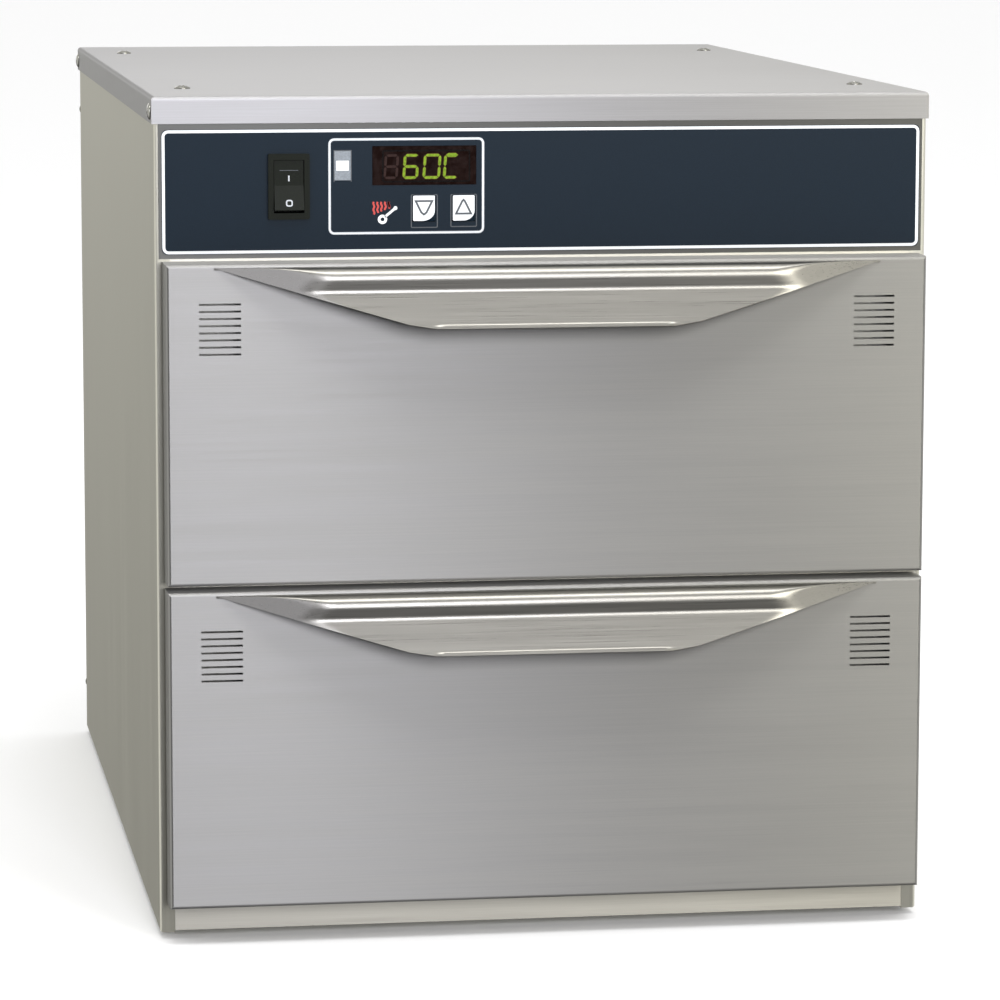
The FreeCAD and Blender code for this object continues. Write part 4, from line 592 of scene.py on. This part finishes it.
# drawer pull, in mm and degrees: bent sheet with a rolled crest, a crease, a flared face and a hem along its lip
pull = {
    "half": 179.0, "flank": 115.0, "corner": 14.0, "cornerRise": 2.2, "height": 31.5, "gauge": 1.2, "tipInset": 0.5,
    # depths in front of the drawer skin and drops below the top, down the profile
    "crest": 12.0, "roll": 6.2, "lean": 6.0, "step": 12.5, "crease": 4.2, "reach": 21.0,
    # the crest slopes up from the tips over the hip's length, and the two surfaces blend
    "hip": 58.0, "hipLean": 0.5, "hipBlend": 1.6,
    # the hem's height, how far it stands proud, and how it fades near the corners and at its upper edge
    "hem": 1.7, "hemProud": 0.55, "hemShort": 1.0, "hemEnd": 0.8, "hemEdge": 0.3,
    "rollPoints": 44, "creasePoints": 18, "profilePoints": 400, "columns": 220, "rows": 96, "tipShare": 0.999,
}


def pullProfile():
    # depth and drop against the length run down the middle section: a level top; a roll carried past upright by
    # the lean, depth = crest - roll + roll * sin t, drop = roll - roll * cos t; a straight that leans back to the
    # skin; the crease, an arc tangent to the straight and to the face; and the flared face down to the lip
    p = pull
    lean = np.radians(p["lean"])
    lip = p["reach"] - p["hemProud"]
    rollEnd = (p["crest"] - p["roll"] * (1 - np.cos(lean)), p["roll"] * (1 + np.sin(lean)))
    corner = rollEnd[0] - (p["step"] - rollEnd[1]) * np.tan(lean)
    flare = np.arctan2(lip - corner, p["height"] - p["step"])
    setback = p["crease"] * np.tan((flare + lean) / 2)
    start = (corner + setback * np.sin(lean), p["step"] - setback * np.cos(lean))
    roll = np.linspace(0, np.pi / 2 + lean, p["rollPoints"])
    arc = np.linspace(-lean, flare, p["creasePoints"])
    depth = [[0.0], p["crest"] - p["roll"] + p["roll"] * np.sin(roll),
             start[0] + p["crease"] * (np.cos(lean) - np.cos(arc)), [lip]]
    drop = [[0.0], p["roll"] - p["roll"] * np.cos(roll),
            start[1] + p["crease"] * (np.sin(arc) + np.sin(lean)), [p["height"]]]
    line = np.column_stack([np.concatenate(depth), np.concatenate(drop)])
    length = np.concatenate([[0], np.cumsum(np.linalg.norm(np.diff(line, axis=0), axis=1))])
    even = np.linspace(0, length[-1], p["profilePoints"])
    return even, np.interp(even, length, line[:, 0]), np.interp(even, length, line[:, 1])


def makePull(drawer):
    # surface over (side to side, down the profile): each column runs down the profile as far as the outline
    # allows; its depth is the smaller of the profile and the hip, crest / hip * (way from the tip + hipLean * drop),
    # rounded where they meet: min(a, b) - blend / 4 * lift ^ 2, with lift = (blend - |a - b|) / blend
    p = pull
    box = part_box(f"{drawer}_pull")
    top, skin = box[1].z / mm, -box[1].y / mm
    length, depth, drop = pullProfile()
    # columns stand closer together towards the tips
    across = (p["half"] - p["tipInset"]) * np.sin(np.linspace(-1, 1, p["columns"]) * np.pi / 2 * p["tipShare"])
    lipHalf = p["half"] - p["flank"]
    deepest = np.interp(abs(across), [lipHalf, lipHalf + p["corner"], p["half"]],
                        [p["height"], p["height"] - p["cornerRise"], 0.0])
    run = np.interp(deepest, drop, length)[:, None] * np.linspace(0, 1, p["rows"])[None]
    out, down = np.interp(run, length, depth), np.interp(run, length, drop)
    hip = p["crest"] / p["hip"] * (p["half"] - abs(across)[:, None] + p["hipLean"] * down)
    lift = np.maximum(p["hipBlend"] - abs(out - hip), 0) / p["hipBlend"]
    out = np.maximum(np.minimum(out, hip) - lift ** 2 * p["hipBlend"] / 4, 0.0)
    # the hem along the level lip, with a rounded upper edge
    level = np.clip((lipHalf - p["hemShort"] - abs(across)) / p["hemEnd"], 0, 1)[:, None]
    out = out + level * p["hemProud"] * np.clip((down - (p["height"] - p["hem"])) / p["hemEdge"], 0, 1)
    outer = np.dstack([np.broadcast_to(across[:, None], down.shape), -(skin + out), top - down])
    normal = np.cross(np.gradient(outer, axis=1), np.gradient(outer, axis=0))
    normal /= np.maximum(np.linalg.norm(normal, axis=2, keepdims=True), 1e-9)
    inner = outer - normal * p["gauge"]
    # nothing of the sheet passes behind the drawer skin
    inner[..., 1] = np.minimum(inner[..., 1], -skin)
    m, n = down.shape
    face = gridFaces(m, n, flip=True)
    edge = np.concatenate([np.arange(n), np.arange(1, m) * n + n - 1, (m - 1) * n + np.arange(n - 1)[::-1],
                           np.arange(1, m - 1)[::-1] * n])
    follow = np.roll(edge, -1)
    rim = np.stack([edge, edge + m * n, follow + m * n, follow], 1)
    faces = np.vstack([face, face[:, ::-1] + m * n, rim]).tolist()
    points = np.vstack([outer.reshape(-1, 3), inner.reshape(-1, 3)])
    piece = putPiece(f"{drawer}FormedPull", [(points, faces)], "pullSheet", f"{drawer}_drawer",
                     30.0, place=inWorld)
    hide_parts(f"{drawer}_pull")


# food pan, in mm and degrees: rim, mouth, tapered wall and floor pressed from one sheet
pan = {
    "gauge": 0.8, "depth": 150.0, "taper": 4.0, "bend": 3.0, "floorBend": 9.0, "mouthInset": 13.0,
    "rimInsets": (0.15, 0.6), "floorReaches": (8.0, 40.0, 90.0, 118.0),
    # corner radii, which shrink down the wall and inwards over the floor
    "rimCorner": 20.0, "mouthCorner": 33.0, "wallCorner": 32.0, "wallShrink": 8.0,
    "bendCorner": 24.0, "floorCorner": 22.0, "floorShrink": 0.15,
    "bendRings": 8, "wallRings": 11, "perCorner": 14,
}


def makePan(drawer):
    # rounded rectangles carried down the section, each (inset from the rim, corner radius, height above the seat)
    p = pan
    low, high = (np.array(corner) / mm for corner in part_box(f"{drawer}_food_pan"))
    seat = high[2] - p["gauge"]
    lean = np.tan(np.radians(p["taper"]))
    quarter = np.linspace(0, np.pi / 2, p["bendRings"] + 1)[1:]
    wallTop, wallFoot = -p["bend"], -p["depth"] + p["gauge"] + p["floorBend"]
    wall = np.linspace(wallTop, wallFoot, p["wallRings"] + 1)[1:]
    mouth = p["mouthInset"] - p["bend"]
    section = [(inset, p["rimCorner"], p["gauge"]) for inset in p["rimInsets"]]
    section += [(mouth, p["mouthCorner"], p["gauge"])]
    section += [(mouth + p["bend"] * np.sin(q), p["wallCorner"], p["gauge"] - p["bend"] * (1 - np.cos(q)))
                for q in quarter]
    section += [(p["mouthInset"] - lean * z, p["wallCorner"] - p["wallShrink"] * z / -p["depth"], z) for z in wall]
    base = section[-1][0]
    section += [(base + p["floorBend"] * (1 - np.cos(q)), p["bendCorner"], wallFoot - p["floorBend"] * np.sin(q))
                for q in quarter]
    floor = section[-1][2]
    section += [(base + p["floorBend"] + reach, p["floorCorner"] - p["floorShrink"] * reach, floor)
                for reach in p["floorReaches"]]
    m, n = len(section), 4 * p["perCorner"]
    points = np.vstack([np.column_stack([roundedRectangle(low[:2] + inset, high[:2] - inset, radius, p["perCorner"]),
                                         np.full(n, seat + z)]) for inset, radius, z in section])
    faces = gridFaces(m, n, wrapColumns=True, flip=True).tolist() + [list(range((m - 1) * n, m * n))]
    piece = putPiece(f"{drawer}PressedPan", [(points, faces)], "panSheet", f"{drawer}_drawer", 60.0,
                     place=inWorld)
    sheet = piece.modifiers.new("sheet", "SOLIDIFY")
    sheet.thickness, sheet.offset = p["gauge"] * mm, -1.0
    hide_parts(f"{drawer}_food_pan")


for drawerName in ("lower", "upper"):
    makePull(drawerName)
    makePan(drawerName)
print("stage: pulls and pans")

# cord gland, in mm: six-sided collar, ribbed dome nut and a seal round the bore
gland = {
    "middle": (140.0, 408.5), "ribs": 16, "ribDepth": 0.35, "around": 96,
    "radii": {"bore": 4.5, "seal": 5.0, "wall": 7.9, "neck": 8.5, "collar": 12.0},
    # radius and share of it, cross-section, plane it is measured from and the way towards the back from there
    "rings": (("bore", 1, "round", "inside", 0), ("wall", 1, "round", "inside", 0), ("wall", 1, "round", "panel", 0),
              ("collar", 0.97, "hexagon", "panel", 0), ("collar", 1, "hexagon", "panel", 0.6),
              ("collar", 1, "hexagon", "panel", 5.4), ("collar", 0.95, "hexagon", "panel", 6.0),
              ("neck", 0.98, "round", "panel", 6.05), ("neck", 1, "ribbed", "panel", 6.8),
              ("neck", 1, "ribbed", "tip", -6.0), ("neck", 0.97, "ribbed", "tip", -4.4),
              ("neck", 0.88, "round", "tip", -2.2), ("neck", 0.74, "round", "tip", -0.7),
              ("neck", 0.66, "round", "tip", -0.3), ("seal", 1, "round", "tip", -0.3),
              ("bore", 1, "round", "tip", -0.8)),
}


def makeGland():
    g = gland
    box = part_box("cord_gland")
    planes = {"inside": box[0].y / mm, "panel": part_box("back_panel")[1].y / mm, "tip": box[1].y / mm}
    angles = np.linspace(0, 2 * np.pi, g["around"], endpoint=False)
    # radius over the angle, as a share: a circle, a hexagon cos 30 / cos(angle from the middle of a side), and
    # a circle with ribs, 1 - ribDepth / neck * (1 + cos(ribs * angle)) / 2
    shapes = {
        "round": np.ones_like(angles),
        "hexagon": np.cos(np.pi / 6) / np.cos((angles + np.pi / 6) % (np.pi / 3) - np.pi / 6),
        "ribbed": 1 - g["ribDepth"] / g["radii"]["neck"] * (0.5 + 0.5 * np.cos(g["ribs"] * angles)),
    }
    rings = []
    for size, share, shape, plane, out in g["rings"]:
        reach = g["radii"][size] * share * shapes[shape]
        rings.append(np.column_stack([g["middle"][0] + reach * np.cos(angles),
                                      np.full(g["around"], planes[plane] + out),
                                      g["middle"][1] + reach * np.sin(angles)]))
    faces = gridFaces(len(rings), g["around"], wrapRows=True, wrapColumns=True).tolist()
    piece = putPiece("ribbedGland", [(np.vstack(rings), faces)], "blackNylon", "cabinet", 32.0,
                     place=inWorld)
    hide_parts("cord_gland")


makeGland()
print("stage: cord gland")

# a room in white and grey; lengths in m
studio = {
    "floorHex": "#ffffff", "floorSize": 60.0, "worldHex": "#ffffff",
    # dome: tone by height, from straight down (0) through the horizon (0.5) to straight up (1)
    "dome": ((0.0, "#35332f"), (1.0, "#ffffff"), (0.36, "#3c3a35"), (0.5, "#6c6b67"), (0.84, "#75746f"),
             (0.95, "#ffffff")),
    "domeStrength": 1.35,
    # a brighter wall behind the object: strength below and above, how far back it is full, where it starts
    "behindLow": 0.13, "behindHigh": 0.95, "behindFull": 0.8, "behindFrom": -0.22,
    # and one to either side: strength, and the ways to the side between which it grows
    "beside": 1.4, "besideFrom": 0.45, "besideFull": 0.85,
    # area lights: place, turn in degrees, width, height, power in watts, colour
    "lights": {
        "leftWindow": ((0.41, -6.8, 2.1), (90, 0, 0), 1.0, 3.4, 164, "#f3f4ff"),
        "farLeftWindow": ((-2.2, -6.8, 2.1), (90, 0, 0), 1.75, 3.4, 45, "#f0f1ff"),
        "rightWindow": ((2.9, -6.8, 2.1), (90, 0, 0), 2.1, 3.4, 244, "#fffdf4"),
        "backWindow": ((-1.2, 3.2, 1.3), (-90, 0, 0), 1.8, 1.8, 8, "#fffef8"),
        "highFront": ((0.08, -0.95, 2.1), (18, 0, 0), 1.3, 0.6, 18, "#ffffff"),
    },
}


def makeFloor():
    half = studio["floorSize"] / 2
    mesh = bpy.data.meshes.new("floor")
    mesh.from_pydata([(-half, -half, 0), (half, -half, 0), (half, half, 0), (-half, half, 0)], [], [(0, 1, 2, 3)])
    floor = bpy.data.objects.new("floor", mesh)
    bpy.context.scene.collection.objects.link(floor)
    paper = newMaterial("paperSweep", Roughness=0.9, Base_Color=toLinear(studio["floorHex"]))[0]
    mesh.materials.append(paper)
    # the steel reflects the dome in place of the paper
    floor.visible_glossy = False


def makeLights():
    world = bpy.data.worlds.new("studio")
    bpy.context.scene.world = world
    world.use_nodes = True
    tree = world.node_tree
    tree.nodes.clear()
    way = addNode(tree, "ShaderNodeTexCoord")
    parts = addNode(tree, "ShaderNodeSeparateXYZ", {"Vector": way.outputs["Generated"]})
    height = addNode(tree, "ShaderNodeMapRange", {"Value": parts.outputs["Z"]}, From_Min=-1.0, From_Max=1.0)
    dome = addNode(tree, "ShaderNodeValToRGB", {"Fac": height}, colors=studio["dome"])
    above = addNode(tree, "ShaderNodeMath", {0: dome}, operation="MULTIPLY")
    above.inputs[1].default_value = studio["domeStrength"]
    away = addNode(tree, "ShaderNodeMapRange", {"Value": parts.outputs["Y"]}, From_Min=0.0,
                   From_Max=studio["behindFull"])
    rise = addNode(tree, "ShaderNodeMapRange", {"Value": parts.outputs["Z"]}, From_Min=studio["behindFrom"],
                   From_Max=0.0, To_Min=studio["behindLow"], To_Max=studio["behindHigh"])
    behind = addNode(tree, "ShaderNodeMath", {0: away, 1: rise}, operation="MULTIPLY")
    stronger = addNode(tree, "ShaderNodeMath", {0: above, 1: behind}, operation="MAXIMUM")
    apart = addNode(tree, "ShaderNodeMath", {0: parts.outputs["X"]}, operation="ABSOLUTE")
    beside = addNode(tree, "ShaderNodeMapRange", {"Value": apart}, From_Min=studio["besideFrom"],
                     From_Max=studio["besideFull"], To_Max=studio["beside"])
    # the strongest of dome, wall behind and walls beside lights the scene
    strongest = addNode(tree, "ShaderNodeMath", {0: stronger, 1: beside}, operation="MAXIMUM")
    sky = addNode(tree, "ShaderNodeBackground", {"Strength": strongest}, Color=toLinear(studio["worldHex"]))
    addNode(tree, "ShaderNodeOutputWorld", {"Surface": sky})
    for name, (place, turn, width, height, power, hexCode) in studio["lights"].items():
        lamp = bpy.data.lights.new(name, "AREA")
        lamp.shape = "RECTANGLE"
        lamp.size, lamp.size_y, lamp.energy = width, height, power
        lamp.color = toLinear(hexCode)[:3]
        holder = bpy.data.objects.new(name, lamp)
        holder.location = place
        holder.rotation_euler = Euler(np.radians(turn))
        holder.visible_camera = False
        bpy.context.scene.collection.objects.link(holder)


# seen from the left and a little above, with a long lens: m from the lower front edge of the casing, degrees, mm
cameraSettings = {"fromCasing": (-0.4024, -2.4459, 0.580), "yaw": 8.784, "pitch": 8.024, "roll": -0.103, "lens": 167.9}


def makeCamera():
    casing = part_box("top_cover")
    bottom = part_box("left_side_panel")[0].z
    data = bpy.data.cameras.new("camera")
    data.lens = cameraSettings["lens"]
    camera = bpy.data.objects.new("camera", data)
    camera.location = Vector(cameraSettings["fromCasing"]) + Vector((0, casing[0].y, bottom))
    turn = np.radians((90 - cameraSettings["pitch"], cameraSettings["roll"], -cameraSettings["yaw"]))
    camera.rotation_euler = Euler(turn)
    bpy.context.scene.collection.objects.link(camera)
    bpy.context.scene.camera = camera


makeFloor()
makeLights()
makeCamera()
bpy.context.scene.view_settings.view_transform = "Standard"
print("stage: floor, light and camera")
